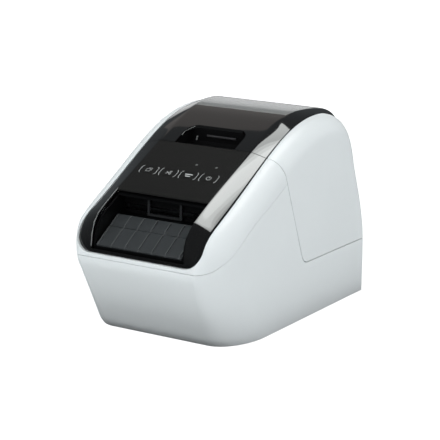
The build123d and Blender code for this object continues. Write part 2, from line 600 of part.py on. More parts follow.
# ---------------------------------------------------------------- platen
save("platen_roller", ring(Vector(-32.5, PLATEN_Y, PLATEN_Z), Vector(1, 0, 0), PLATEN_R, 3.0, 65.0))
shaft = cyl(Vector(-32.5, PLATEN_Y, PLATEN_Z), Vector(1, 0, 0), 3.0, 65.0) + cyl(Vector(-40.5, PLATEN_Y, PLATEN_Z), Vector(1, 0, 0), 2.5, 86.0)
save("platen_shaft", shaft)
save("platen_gear", gear(PLATEN_Y, PLATEN_Z, GX0, GX1, Z_PLATEN, ph_platen, 2.5, (4.2, 1.2)))
save("idler_gear", gear(IDLER[0], IDLER[1], GX0, GX1, Z_IDLER, ph_idler, 2.05, (4.0, 1.6)))
pin = gear(MOTOR[0], MOTOR[1], GX0, GX1, Z_PINION, ph_pinion, None)
pin = pin + cyl(Vector(36.5, MOTOR[0], MOTOR[1]), Vector(1, 0, 0), 1.5, 8.4)
save("motor_pinion", one(pin))
motor = cyl(Vector(13.0, MOTOR[0], MOTOR[1]), Vector(1, 0, 0), 11.5, 23.3) + box(12.0, 13.2, MOTOR[0] - 6, MOTOR[0] + 6, MOTOR[1] - 9, MOTOR[1] + 9)
motor = motor - cyl(Vector(34.0, MOTOR[0], MOTOR[1]), Vector(1, 0, 0), 1.9, 3)
save("feed_motor", one(motor))

# ---------------------------------------------------------------- print head
head = box(-33, 33, -40, -24, 85.1, 89.0) + box(-32.5, 32.5, -34.6, -29.4, 84.5, 85.2)
save("print_head", one(head))
sink = box(-30, 30, -40, -24, 89.0, 91.0)
for i in range(7):
    sink = sink + box(-30, 30, -39.8 + i * 2.5, -38.6 + i * 2.5, 90.5, 96.5)
sink = sink - cyl(Vector(-20, -32, 91.0), Vector(0, 0, 1), 4.2, 8) - cyl(Vector(20, -32, 91.0), Vector(0, 0, 1), 4.2, 8)
save("heat_sink", one(sink))
springs = []
for sx in (-20, 20):
    turns = []
    zb, zt = 91.5, 102.5
    path = Edge.make_helix(2.2, zt - zb, 3.0, Vector(sx, -32, zb), Vector(0, 0, 1))
    prof = Wire.make_circle(0.4, Plane(origin=path.position_at(0), z_dir=path.tangent_at(0)))
    springs.append(Solid.sweep(prof, path=path))
save("head_springs", Compound(springs))

# ---------------------------------------------------------------- cutter
fixed_blade = prism_x([(-58.1, 70.0), (-56.9, 70.0), (-56.9, 84.0), (-57.2, 84.0), (-58.1, 82.6)], -36.3, 36.3)
save("fixed_blade", fixed_blade)
carriage = box(-53.6, 33, -55.3, -53.5, 88.0, 95.4)
PIN_R, CRANK_R = 1.2, 5.2
CX, CZ = -47.0, 89.0
px, pz = CX + CRANK_R * math.cos(math.radians(30)), CZ + CRANK_R * math.sin(math.radians(30))
slot_x0, slot_x1 = px - PIN_R - 0.45, CX + CRANK_R + PIN_R + 0.45
carriage = carriage - box(slot_x0, slot_x1, -56, -53, pz - PIN_R - 0.4, pz + PIN_R + 0.4)
save("blade_carriage", one(carriage))
blade = box(-33, 33, -56.5, -55.3, 88.2, 95.0) + prism_x([(-56.5, 85.7), (-56.1, 85.7), (-55.3, 87.0), (-55.3, 88.4), (-56.5, 88.4)], -33, 33)
save("cutter_blade", one(blade))
crank = cyl(Vector(CX, -52.9, CZ), Vector(0, 1, 0), 7.6, 2.2) + cyl(Vector(px, -55.1, pz), Vector(0, 1, 0), PIN_R, 3.0)
crank = crank + cyl(Vector(CX, -50.8, CZ), Vector(0, 1, 0), 2.6, 3.2)
save("cutter_crank", one(crank))
cmotor = cyl(Vector(CX, -47.4, CZ), Vector(0, 1, 0), 7.4, 22.0) + cyl(Vector(CX, -25.4, CZ), Vector(0, 1, 0), 3.0, 1.5)
save("cutter_motor", one(cmotor))
guide = box(-36.3, 36.3, -53.0, -39.6, 81.4, 83.2) + box(-36.3, 36.3, -24.4, -7.0, 80.8, 82.6)
guide = guide + box(-36.3, -33.4, -53.0, -7.0, 78.0, 79.0) - cyl(Vector(-40, PLATEN_Y, PLATEN_Z), Vector(1, 0, 0), 7.0, 80)
guide_parts = sorted(guide.solids(), key=lambda k: -k.volume)[:2]
save("paper_guides", Compound(guide_parts))
save("paper_sensor", box(-5, 5, -20, -12, 75.5, 80.8) - box(-3, 3, -18.5, -13.5, 79.8, 82))

# ---------------------------------------------------------------- roll well, label roll and spool
well_side = [(9, 15), (9, 42), (31, 64), (73, 64), (97, 42), (97, 22), (84, 22), (84, 15)]
well = prism_x(well_side, -44.0, 44.0) - box(-42, 42, 10.8, 82.2, 16.8, 200) - box(-42, 42, 82.0, 95.2, 23.8, 200)
for sx in (-1, 1):
    x0, x1 = sorted((sx * 41, sx * 45))
    well = well - cyl(Vector(x0, ROLL_Y, ROLL_Z), Vector(1, 0, 0), 5.3, 4) - box(x0, x1, ROLL_Y - 5.3, ROLL_Y + 5.3, ROLL_Z, 80)
for wx in (-30, 0, 30):
    well = well + cyl(Vector(wx, 20, 8.8), Vector(0, 0, 1), 2.4, 6.4) + cyl(Vector(wx, 78, 8.8), Vector(0, 0, 1), 2.4, 6.4)
save("roll_well", one(well))
save("label_roll", ring(Vector(-ROLL_HALF, ROLL_Y, ROLL_Z), Vector(1, 0, 0), ROLL_R, 12.7, 2 * ROLL_HALF))
spool = ring(Vector(-ROLL_HALF - 0.4, ROLL_Y, ROLL_Z), Vector(1, 0, 0), 12.65, 10.4, 2 * ROLL_HALF + 0.8)
for sx in (-1, 1):
    x0, x1 = sorted((sx * (ROLL_HALF + 0.3), sx * (ROLL_HALF + 1.9)))
    spool = spool + ring(Vector(x0, ROLL_Y, ROLL_Z), Vector(1, 0, 0), 21.0, 4.0, x1 - x0)
    x0, x1 = sorted((sx * (ROLL_HALF + 1.6), sx * 43.4))
    spool = spool + ring(Vector(x0, ROLL_Y, ROLL_Z), Vector(1, 0, 0), 5.0, 3.4, x1 - x0)
save("label_spool", one(spool))

# ---------------------------------------------------------------- boards and sockets
board = box(-49.4, 49.4, 14, 98, 7.0, 8.6)
for bx, by, w, d, h in ((-8, 40, 14, 14, 1.6), (18, 62, 10, 8, 1.8), (-30, 60, 8, 12, 2.0), (36, 34, 12, 6, 5.5), (-40, 30, 10, 6, 5.0),
                        (8, 84, 8, 5, 3.0), (-14, 72, 5, 5, 5.6)):
    board = board + box(bx - w / 2, bx + w / 2, by - d / 2, by + d / 2, 8.5, 8.6 + h)
for bx, by in ((-44, 56), (44, 56)):
    board = board + cyl(Vector(bx, by, 4.0), Vector(0, 0, 1), 2.2, 3.2)
board = board - box(-46.2, -27.8, 85.4, 99, 6, 9) - box(29.8, 43.0, 87.4, 99, 6, 9)
save("main_board", one(board))
power = box(-30, 30, -72, -2, 8.0, 9.6)
for bx, by, w, d, h in ((-14, -40, 22, 24, 15.5), (12, -20, 10, 16, 10.0), (16, -50, 8, 8, 14.0)):
    power = power + box(bx - w / 2, bx + w / 2, by - d / 2, by + d / 2, 9.5, 9.6 + h)
power = power + cyl(Vector(-16, -14, 9.5), Vector(0, 0, 1), 6.0, 16.0) + cyl(Vector(14, -64, 9.5), Vector(0, 0, 1), 4.0, 12.0)
for bx, by in ((-24, -66), (24, -66), (24, -8)):
    power = power + cyl(Vector(bx, by, 4.0), Vector(0, 0, 1), 2.2, 4.2)
save("power_board", one(power))
inlet = box(-45.4, -28.6, 86, 105.7, 10.6, 20.4)
for ix in (-40.9, -33.1):
    inlet = inlet - cyl(Vector(ix, 92.0, 15.5), Vector(0, 1, 0), 4.1, 20)
inlet = inlet - box(-40.9, -33.1, 92.0, 110, 11.9, 19.1)
for ix in (-41.3, -32.7):
    inlet = inlet + cyl(Vector(ix, 88.0, 15.5), Vector(0, 1, 0), 1.15, 11.8)
save("power_inlet", one(inlet))
usb = box(30.6, 42.2, 88.0, 105.5, 9.6, 20.4) - box(32.1, 40.7, 93.0, 110, 11.0, 19.0) + box(33.6, 39.2, 92.0, 100.6, 13.6, 16.6)
save("usb_socket", one(usb))
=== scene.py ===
import bpy
import bmesh
import json
import math
import numpy as np
from mathutils import Matrix, Vector

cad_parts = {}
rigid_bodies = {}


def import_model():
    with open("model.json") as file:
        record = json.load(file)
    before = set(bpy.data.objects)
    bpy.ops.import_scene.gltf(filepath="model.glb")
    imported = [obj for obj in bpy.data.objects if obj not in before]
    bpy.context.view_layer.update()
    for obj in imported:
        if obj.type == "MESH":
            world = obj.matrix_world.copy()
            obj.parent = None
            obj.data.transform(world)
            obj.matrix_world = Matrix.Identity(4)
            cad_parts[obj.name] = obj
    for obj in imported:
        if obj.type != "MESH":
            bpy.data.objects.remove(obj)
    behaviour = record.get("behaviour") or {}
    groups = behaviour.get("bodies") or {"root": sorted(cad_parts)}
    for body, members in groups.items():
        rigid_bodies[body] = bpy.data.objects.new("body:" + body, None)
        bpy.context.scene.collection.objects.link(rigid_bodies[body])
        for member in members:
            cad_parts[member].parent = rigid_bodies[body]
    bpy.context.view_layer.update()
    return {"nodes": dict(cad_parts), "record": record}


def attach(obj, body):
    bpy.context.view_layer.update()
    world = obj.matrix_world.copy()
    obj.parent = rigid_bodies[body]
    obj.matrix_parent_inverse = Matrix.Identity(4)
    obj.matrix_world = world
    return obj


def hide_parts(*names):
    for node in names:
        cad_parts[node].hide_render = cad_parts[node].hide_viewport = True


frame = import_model()
nodes = frame["nodes"]
scene = bpy.context.scene
scene.view_settings.view_transform = "Standard"
scene.view_settings.look = "None"
scene.view_settings.exposure = 0.0
scene.view_settings.gamma = 1.0
MM = 0.001
CAD_NAMES = {o.name for o in scene.objects}
BUTTON_X = (-24.9, -9.3, 6.3, 22.2)
LED_POS = ((6.0, -41.6), (21.6, -41.8))


# ---------------------------------------------------------------- material helpers
class Tree:
    """A material with a Principled shader and small helpers to add nodes to it."""

    def __init__(self, name):
        self.mat = bpy.data.materials.new(name)
        self.mat.use_nodes = True
        self.nt = self.mat.node_tree
        self.nt.nodes.clear()
        self.out = self.nt.nodes.new("ShaderNodeOutputMaterial")
        self.bsdf = self.nt.nodes.new("ShaderNodeBsdfPrincipled")
        self.nt.links.new(self.bsdf.outputs[0], self.out.inputs[0])
        self.coord = self.nt.nodes.new("ShaderNodeTexCoord")

    def node(self, kind, **values):
        n = self.nt.nodes.new(kind)
        for k, v in values.items():
            if hasattr(n, k):
                setattr(n, k, v)
            else:
                n.inputs[k.replace("_", " ")].default_value = v
        return n

    def link(self, a, b):
        self.nt.links.new(a, b)

    def set(self, **values):
        for k, v in values.items():
            self.bsdf.inputs[k.replace("_", " ")].default_value = v

    def mapped(self, scale=(1, 1, 1), offset=(0, 0, 0), rotation=(0, 0, 0)):
        m = self.nt.nodes.new("ShaderNodeMapping")
        m.inputs["Scale"].default_value = scale
        m.inputs["Location"].default_value = offset
        m.inputs["Rotation"].default_value = rotation
        self.link(self.coord.outputs["Object"], m.inputs["Vector"])
        return m.outputs[0]

    def noise(self, scale, detail=3.0, rough=0.55, vector=None, distortion=0.0):
        n = self.nt.nodes.new("ShaderNodeTexNoise")
        n.inputs["Scale"].default_value = scale
        n.inputs["Detail"].default_value = detail
        n.inputs["Roughness"].default_value = rough
        n.inputs["Distortion"].default_value = distortion
        self.link(vector or self.coord.outputs["Object"], n.inputs["Vector"])
        return n.outputs["Fac"]

    def voronoi(self, scale, feature="F1", vector=None):
        n = self.nt.nodes.new("ShaderNodeTexVoronoi")
        n.feature = feature
        n.inputs["Scale"].default_value = scale
        self.link(vector or self.coord.outputs["Object"], n.inputs["Vector"])
        return n.outputs["Distance"]

    def ramp(self, fac, stops):
        n = self.nt.nodes.new("ShaderNodeValToRGB")
        el = n.color_ramp.elements
        while len(el) < len(stops):
            el.new(0.5)
        for e, (p, c) in zip(el, stops):
            e.position = p
            e.color = c if len(c) == 4 else (*c, 1.0)
        self.link(fac, n.inputs[0])
        return n.outputs[0]

    def remap(self, fac, lo, hi, a=0.0, b=1.0):
        n = self.nt.nodes.new("ShaderNodeMapRange")
        n.inputs["From Min"].default_value = a
        n.inputs["From Max"].default_value = b
        n.inputs["To Min"].default_value = lo
        n.inputs["To Max"].default_value = hi
        self.link(fac, n.inputs["Value"])
        return n.outputs[0]

    def math(self, op, a, b=None, c=None):
        n = self.nt.nodes.new("ShaderNodeMath")
        n.operation = op
        for i, v in enumerate((a, b, c)):
            if v is None:
                continue
            if isinstance(v, (int, float)):
                n.inputs[i].default_value = v
            else:
                self.link(v, n.inputs[i])
        return n.outputs[0]

    def mix(self, fac, a, b):
        n = self.nt.nodes.new("ShaderNodeMix")
        n.data_type = "RGBA"
        for s, v in ((n.inputs[0], fac), (n.inputs[6], a), (n.inputs[7], b)):
            if isinstance(v, (int, float)):
                s.default_value = v
            elif isinstance(v, (tuple, list)):
                s.default_value = v if len(v) == 4 else (*v, 1.0)
            else:
                self.link(v, s)
        return n.outputs[2]

    def bump(self, height, strength, distance):
        n = self.nt.nodes.new("ShaderNodeBump")
        n.inputs["Strength"].default_value = strength
        n.inputs["Distance"].default_value = distance
        self.link(height, n.inputs["Height"])
        if self.bsdf.inputs["Normal"].links:
            self.link(self.bsdf.inputs["Normal"].links[0].from_socket, n.inputs["Normal"])
        self.link(n.outputs[0], self.bsdf.inputs["Normal"])


def plastic(name, base, rough, vary=0.04, grain=2600.0, grain_bump=0.05, grain_mm=0.01, rough_var=0.06, coat=0.0, coat_rough=0.05, spec=0.5, tint=None):
    """Moulded plastic: faint colour clouds, patchy gloss and a fine spark-eroded grain."""
    t = Tree(name)
    cloud = t.noise(28.0, 4.0, 0.6)
    lo = tuple(c * (1 - vary) for c in base)
    hi = tuple(min(1.0, c * (1 + vary)) for c in (tint or base))
    t.link(t.ramp(cloud, [(0.3, lo), (0.7, hi)]), t.bsdf.inputs["Base Color"])
    patch = t.noise(90.0, 5.0, 0.65)
    fine = t.noise(grain, 2.0, 0.5)
    r = t.math("ADD", t.remap(patch, rough - rough_var, rough + rough_var, 0.3, 0.7), t.remap(fine, -0.02, 0.02))
    t.link(r, t.bsdf.inputs["Roughness"])
    t.set(Coat_Weight=coat, Coat_Roughness=coat_rough, Specular_IOR_Level=spec)
    t.bump(fine, grain_bump, grain_mm * MM)
    return t.mat


def metal(name, base, rough, stretch=(1, 1, 1), scale=900.0, rough_var=0.08, bump=0.15):
    """Worked metal: brush lines or mill grain along one axis, with roughness patches."""
    t = Tree(name)
    brushed = t.noise(scale, 4.0, 0.6, t.mapped(stretch))
    spots = t.noise(160.0, 4.0, 0.6)
    lo = tuple(c * 0.86 for c in base)
    t.link(t.ramp(brushed, [(0.25, lo), (0.75, base)]), t.bsdf.inputs["Base Color"])
    t.link(t.math("ADD", t.remap(brushed, rough - rough_var, rough + rough_var, 0.3, 0.7), t.remap(spots, -0.05, 0.07, 0.3, 0.7)), t.bsdf.inputs["Roughness"])
    t.set(Metallic=1.0)
    t.bump(brushed, bump, 0.01 * MM)
    return t.mat


M = {}
M["white_case"] = plastic("white_case", (0.765, 0.785, 0.79), 0.34, 0.008, 2400.0, 0.04, 0.006, 0.015, coat=0.08, coat_rough=0.14, spec=0.4)
M["grey_crown"] = plastic("grey_crown", (0.205, 0.208, 0.205), 0.20, 0.02, 2400.0, 0.03, 0.006, 0.02, coat=0.3, coat_rough=0.06)
M["gloss_black"] = plastic("gloss_black", (0.0026, 0.0022, 0.0021), 0.06, 0.10, 900.0, 0.01, 0.002, 0.012, coat=1.0, coat_rough=0.03)
M["panel_black"] = plastic("panel_black", (0.0085, 0.0080, 0.0072), 0.25, 0.06, 2600.0, 0.012, 0.004, 0.012)
M["matte_black"] = plastic("matte_black", (0.012, 0.012, 0.0125), 0.42, 0.08, 2000.0, 0.25, 0.014, 0.06)
M["dark_liner"] = plastic("dark_liner", (0.055, 0.056, 0.060), 0.55, 0.08, 1800.0, 0.3, 0.016, 0.06)
M["rubber"] = plastic("rubber", (0.018, 0.018, 0.019), 0.78, 0.12, 1500.0, 0.35, 0.02, 0.06)
M["gear_plastic"] = plastic("gear_plastic", (0.72, 0.70, 0.64), 0.42, 0.03, 1800.0, 0.12, 0.01)
M["socket_black"] = plastic("socket_black", (0.016, 0.016, 0.017), 0.48, 0.10, 2200.0, 0.25, 0.012)
M["light_pipe"] = plastic("light_pipe", (0.62, 0.66, 0.62), 0.28, 0.03, 2000.0, 0.1, 0.008)
M["spool_plastic"] = plastic("spool_plastic", (0.022, 0.022, 0.024), 0.5, 0.08, 2000.0, 0.3, 0.014)
M["board"] = plastic("board", (0.012, 0.085, 0.035), 0.38, 0.12, 1200.0, 0.15, 0.01)
M["ceramic_head"] = plastic("ceramic_head", (0.28, 0.25, 0.21), 0.35, 0.06, 1600.0, 0.15, 0.01)
M["steel"] = metal("steel", (0.56, 0.56, 0.57), 0.34, (1, 8, 1))
M["motor_metal"] = metal("motor_metal", (0.48, 0.48, 0.50), 0.36, (8, 1, 1))
M["aluminium"] = metal("aluminium", (0.74, 0.74, 0.76), 0.32, (10, 1, 1))


def paper():
    t = Tree("label_paper")
    layers = t.noise(2600.0, 3.0, 0.6)
    fibre = t.noise(420.0, 6.0, 0.7)
    t.link(t.ramp(fibre, [(0.25, (0.80, 0.80, 0.77)), (0.75, (0.88, 0.88, 0.86))]), t.bsdf.inputs["Base Color"])
    t.link(t.remap(fibre, 0.55, 0.72), t.bsdf.inputs["Roughness"])
    t.bump(layers, 0.25, 0.01 * MM)
    return t.mat


M["label_paper"] = paper()

V = {}
V["ramp"] = plastic("tray_black", (0.036, 0.039, 0.041), 0.34, 0.06, 2000.0, 0.20, 0.012, 0.04)
# outlet cavity: near-black with weak specular, painted shade darker than its plastic
V["housing"] = plastic("cavity_painted_shade", (0.0022, 0.0022, 0.0024), 0.40, 0.08, 2000.0, 0.20, 0.012, 0.05, spec=0.25)
V["bezel"] = plastic("bezel_black", (0.0016, 0.0016, 0.0016), 0.09, 0.10, 1200.0, 0.02, 0.003, 0.012, spec=0.5)
V["mark"] = plastic("printed_grey", (0.55, 0.555, 0.55), 0.50, 0.04, 5200.0, 0.10, 0.004, 0.05)


def painted_rib_highlights(mat, first, pitch, half, colour):
    """Paler stripes on the thin ribs, one every pitch across the tray: painted highlight along the ribs."""
    nt = mat.node_tree
    bsdf = next(n for n in nt.nodes if n.type == "BSDF_PRINCIPLED")
    base = bsdf.inputs["Base Color"].links[0].from_socket
    where = nt.nodes.new("ShaderNodeTexCoord")
    parts = nt.nodes.new("ShaderNodeSeparateXYZ")
    nt.links.new(where.outputs["Object"], parts.inputs[0])
    last = parts.outputs["X"]
    for op, value in (("SUBTRACT", first), ("DIVIDE", pitch), ("ADD", 0.5), ("FRACT", None), ("SUBTRACT", 0.5), ("ABSOLUTE", None), ("LESS_THAN", half / pitch)):
        n = nt.nodes.new("ShaderNodeMath")
        n.operation = op
        nt.links.new(last, n.inputs[0])
        if value is not None:
            n.inputs[1].default_value = value
        last = n.outputs[0]
    mix = nt.nodes.new("ShaderNodeMix")
    mix.data_type = "RGBA"
    nt.links.new(last, mix.inputs[0])
    nt.links.new(base, mix.inputs[6])
    mix.inputs[7].default_value = (*colour, 1)
    nt.links.new(mix.outputs[2], bsdf.inputs["Base Color"])


# painted highlight: pale stripes on the tray ribs
painted_rib_highlights(V["ramp"], -0.0318, 0.01047, 0.00038, (0.074, 0.077, 0.078))
V["rail"] = plastic("rail_grey", (0.040, 0.038, 0.040), 0.40, 0.06, 2000.0, 0.10, 0.008, 0.04)
# finger recess: near-black with very weak specular, painted shade inside the recess
V["recess"] = plastic("recess_painted_shade", (0.0036, 0.0035, 0.0037), 0.35, 0.08, 2000.0, 0.10, 0.008, 0.04, spec=0.10)
# pale grey for thin beads on black edges: painted highlight lines
V["line"] = plastic("painted_edge_highlight", (0.20, 0.205, 0.20), 0.28, 0.06, 3000.0, 0.05, 0.004, 0.04)
V["guide"] = plastic("guide_black", (0.020, 0.021, 0.022), 0.30, 0.06, 2000.0, 0.15, 0.010, 0.04)
# dark grey for the lips in the parting gaps: painted shade
V["seal"] = plastic("seam_seal", (0.030, 0.031, 0.032), 0.70, 0.10, 2200.0, 0.15, 0.010, 0.05)
V["lamp"] = plastic("dim_lamp", (0.11, 0.115, 0.11), 0.30, 0.06, 2600.0, 0.08, 0.006, 0.04)
variant = {"label_ramp_front": "ramp", "label_ramp_rear": "ramp", "outlet_housing": "housing", "exit_guide": "guide", "status_lights": "lamp", "finger_recess": "recess"}
slot_of = {s["node"]: s["material_slot"] for s in frame["record"]["subparts"]}
for name, obj in nodes.items():
    obj.data.materials.clear()
    obj.data.materials.append(V[variant[name]] if name in variant else M[slot_of[name]])


# ---------------------------------------------------------------- smooth casing surfaces (mm, same frame as the CAD)
HALF_W, RIM_X, Z0, TAPER, WALL = 62.65, 48.3, 0.35, 0.018, 2.2
FRONT = [(-75.2, 0.0), (-79.3, 4.0), (-82.4, 9.2), (-87.9, 19.0), (-93.6, 29.0), (-99.0, 38.6), (-103.6, 47.2),
         (-105.9, 52.2), (-106.4, 55.4), (-106.1, 59.2), (-104.9, 64.0), (-101.9, 70.2),
         (-97.2, 75.9), (-92.2, 79.9), (-86.0, 83.3), (-80.0, 86.4), (-70.0, 91.5), (-60.0, 96.8),
         (-50.0, 102.3), (-40.0, 107.9), (-30.0, 113.5), (-20.0, 118.9), (-10.0, 124.0),
         (0.0, 128.5), (10.0, 132.3), (20.0, 135.2), (30.0, 137.3), (40.0, 138.5), (50.0, 138.8)]
REAR = [(60.0, 138.1), (69.0, 135.6), (76.3, 131.6), (82.2, 126.0), (86.8, 119.5), (90.6, 111.5), (93.9, 102.0),
        (96.8, 92.0), (99.4, 82.0), (101.4, 72.0), (102.9, 62.0), (104.0, 52.0), (104.9, 42.0), (105.5, 32.0),
        (105.9, 20.0), (106.15, 10.0), (106.3, 0.0)]


def cubic(h, k, x):
    """Natural cubic spline of the columns of k over the knots h, at x."""
    h, k, x = np.asarray(h, float), np.asarray(k, float), np.asarray(x, float)
    n, dh = len(h), np.diff(h)
    A, B = np.zeros((n, n)), np.zeros((n, k.shape[1]))
    A[0, 0] = A[-1, -1] = 1
    for i in range(1, n - 1):
        A[i, i - 1], A[i, i], A[i, i + 1] = dh[i - 1], 2 * (dh[i - 1] + dh[i]), dh[i]
        B[i] = 6 * ((k[i + 1] - k[i]) / dh[i] - (k[i] - k[i - 1]) / dh[i - 1])
    m = np.linalg.solve(A, B)
    i = np.clip(np.searchsorted(h, x) - 1, 0, n - 2)
    a, b, d = ((h[i + 1] - x) / dh[i])[:, None], ((x - h[i]) / dh[i])[:, None], (dh[i] ** 2 / 6)[:, None]
    return a * k[i] + b * k[i + 1] + ((a ** 3 - a) * m[i] + (b ** 3 - b) * m[i + 1]) * d


def gauss(v, step, sigma):
    r = int(math.ceil(3 * sigma / step))
    g = np.exp(-0.5 * (np.arange(-r, r + 1) * step / sigma) ** 2)
    g /= g.sum()
    w = np.vstack([2 * v[0] - v[r:0:-1], v, 2 * v[-1] - v[-2:-r - 2:-1]])
    return np.stack([np.convolve(w[:, c], g, "valid") for c in range(v.shape[1])], 1)


def travel(v):
    return np.r_[0, np.cumsum(np.linalg.norm(np.diff(v, axis=0), axis=1))]


def resample(v, n):
    s = travel(v)
    t = np.linspace(0, s[-1], n)
    return np.stack([np.interp(t, s, v[:, c]) for c in range(v.shape[1])], 1), s[-1]


def ease(t):
    t = np.clip(t, 0, 1)
    return t * t * (3 - 2 * t)


def side_profile(n):
    k = np.array(FRONT + REAR, float)
    h = travel(k)
    p, ln = resample(cubic(h, k, np.linspace(0, h[-1], 3000)), 1500)
    p = gauss(p, ln / 1499, 2.2)
    top = int(np.argmax(p[:, 1]))
    i0 = int(np.argmax(p[:, 1] >= Z0))
    i1 = len(p) - 1 - int(np.argmax(p[::-1, 1] >= Z0))
    cut = lambda a, b: a + (b - a) * ((Z0 - a[1]) / (b[1] - a[1]))
    p = np.vstack([cut(p[i0 - 1], p[i0]), p[i0:i1 + 1], cut(p[i1 + 1], p[i1])])
    return resample(p, n)[0]


def side_x(y):
    return HALF_W - TAPER * (106.5 - y)


def corner_grid(n=380, m=16):
    """Right-hand quarter of the case: rows along the side profile, columns round the corner to the flat side."""
    p = side_profile(n)
    t = np.gradient(p, axis=0)
    t /= np.linalg.norm(t, axis=1)[:, None]
    nin = np.stack([t[:, 1], -t[:, 0]], 1)
    s = travel(p)
    R = HALF_W - RIM_X
    top = int(np.argmax(p[:, 1]))
    at = lambda z: int(np.argmax(p[:top, 1] >= z))
    i90 = at(90)
    keys = np.array([(0.0, 25.0, 39.0, 0.0, 2.0), (s[at(20)], 22.6, 38.2, 0.0, 1.79), (s[at(46)], 19.5, 37.3, 0.0, 1.49),
                     (s[at(57)], 17.7, 36.0, -3.0, 1.40), (s[at(66)], 15.9, 28.0, -8.5, 1.45), (s[at(75)], 15.0, 20.5, -13.0, 1.8),
                     (s[at(82)], R, 12.5, -14.2, 1.92), (s[i90], R, nin[i90][0] * R, nin[i90][1] * R, 2.0)])
    V, RX, EX = np.zeros((n, 2)), np.zeros(n), np.full(n, 2.0)
    fr = s <= keys[-1, 0]
    q = cubic(keys[:, 0], keys[:, 1:], s[fr])
    RX[fr], V[fr], EX[fr] = HALF_W - q[:, 0], q[:, 1:3], q[:, 3]
    rr = np.full(n, R)
    back = np.arange(n) > top
    rr[back] = 1.8 + (R - 1.8) * ease((p[back, 1] - 38.0) / 68.0)
    V[~fr] = nin[~fr] * rr[~fr][:, None]
    RX[~fr] = HALF_W - rr[~fr]
    w = gauss(np.c_[V, RX, EX], s[1], 5.0)
    V, RX, EX = w[:, :2], w[:, 2], w[:, 3]
    V[0, 1] = V[-1, 1] = 0.0
    Q = p + V
    G = np.zeros((n, m + 1, 3))
    for j in range(m + 1):
        f = j / m * math.pi / 2
        sx = np.sin(f) ** (2 / EX) if j else np.zeros(n)
        cx = np.cos(f) ** (2 / EX) if j < m else np.zeros(n)
        G[:, j, 0] = RX + (side_x(Q[:, 0]) - RX) * sx
        G[:, j, 1:] = Q + (p - Q) * cx[:, None]
    return G


def grid_normals(G):
    a = np.gradient(G, axis=0)
    b = np.gradient(G, axis=1)
    nrm = np.cross(a, b)
    ln = np.linalg.norm(nrm, axis=2)
    nrm /= np.maximum(ln, 1e-9)[:, :, None]
    nrm[:, 0] = np.c_[np.zeros(len(G)), nrm[:, 0, 1:]]
    nrm[:, 0] /= np.linalg.norm(nrm[:, 0], axis=1)[:, None]
    side = np.array([1.0, -TAPER, 0.0])
    nrm[:, -1] = side / np.linalg.norm(side)
    if nrm[len(G) // 2, 0, 2] < 0:
        nrm[:, :-1] *= -1
    return nrm


def closed_case(G, z_low=None):
    """Closed mesh from a corner grid: both corners, the middle band, the flat sides and the underside."""
    if z_low is not None:
        a, b = G[:1].copy(), G[-1:].copy()
        a[:, :, 2] = z_low
        b[:, :, 2] = z_low
        G = np.concatenate([a, G, b])
    n, m = G.shape[0], G.shape[1]
    L = G * np.array([-1.0, 1, 1])
    co = np.concatenate([G.reshape(-1, 3), L.reshape(-1, 3)])
    R = lambda i, j: i * m + j
    S = lambda i, j: n * m + i * m + j
    faces = []
    for i in range(n - 1):
        faces.append((S(i, 0), R(i, 0), R(i + 1, 0), S(i + 1, 0)))
        for j in range(m - 1):
            faces.append((R(i, j), R(i, j + 1), R(i + 1, j + 1), R(i + 1, j)))
            faces.append((S(i, j + 1), S(i, j), S(i + 1, j), S(i + 1, j + 1)))
    faces.append([R(i, m - 1) for i in range(n)])
    faces.append([S(i, m - 1) for i in range(n - 1, -1, -1)])
    ring = [S(0, j) for j in range(m - 1, -1, -1)] + [R(0, j) for j in range(m)]
    ring += [R(n - 1, j) for j in range(m - 1, -1, -1)] + [S(n - 1, j) for j in range(m)]
    faces.append(ring[::-1])
    return co, faces


def mesh_object(name, co, faces):
    me = bpy.data.meshes.new(name)
    me.from_pydata([tuple(c) for c in (np.asarray(co, float) * MM)], [], [tuple(f) for f in faces])
    bm = bmesh.new()
    bm.from_mesh(me)
    bmesh.ops.remove_doubles(bm, verts=bm.verts, dist=1e-7)
    bmesh.ops.recalc_face_normals(bm, faces=bm.faces)
    if bm.calc_volume(signed=True) < 0:
        bmesh.ops.reverse_faces(bm, faces=bm.faces)
    bm.to_mesh(me)
    bm.free()
    ob = bpy.data.objects.new(name, me)
    scene.collection.objects.link(ob)
    return ob


def prism(axis, pts, a, b, name="cut"):
    """Closed prism of a polygon. axis 0: pts are (y, z); axis 1: (x, z); axis 2: (x, y)."""
    n = len(pts)

    def p(q, h):
        return [(h, q[0], q[1]), (q[0], h, q[1]), (q[0], q[1], h)][axis]
    co = [p(q, a) for q in pts] + [p(q, b) for q in pts]
    faces = [list(range(n)), list(range(2 * n - 1, n - 1, -1))] + [(i, (i + 1) % n, n + (i + 1) % n, n + i) for i in range(n)]
    return mesh_object(name, co, faces)


def block(x0, x1, y0, y1, z0, z1):
    return prism(2, [(x0, y0), (x1, y0), (x1, y1), (x0, y1)], z0, z1)


def rod(start, axis, length, r, k=32):
    """Closed cylinder from a point along an axis (0, 1 or 2)."""
    u, v = [i for i in range(3) if i != axis]
    pts = []
    for i in range(k):
        a = 2 * math.pi * i / k
        q = [0.0, 0.0, 0.0]
        q[u], q[v] = start[u] + r * math.cos(a), start[v] + r * math.sin(a)
        pts.append((q[u], q[v]))
    return prism(axis, pts, start[axis], start[axis] + length)


def boolean(obj, *steps, name=None, keep=False):
    """Applies (operation, other) steps one after the other and returns the resulting object."""
    for op, other in steps:
        m = obj.modifiers.new("b", "BOOLEAN")
        m.operation = op
        m.object = other
        m.solver = "MANIFOLD"
    bpy.context.view_layer.update()
    me = bpy.data.meshes.new_from_object(obj.evaluated_get(bpy.context.evaluated_depsgraph_get()))
    out = bpy.data.objects.new(name or obj.name, me)
    scene.collection.objects.link(out)
    obj.modifiers.clear()
    if not keep:
        bpy.data.objects.remove(obj)
    return out


def copy_of(obj, name="copy"):
    ob = bpy.data.objects.new(name, obj.data.copy())
    scene.collection.objects.link(ob)
    return ob


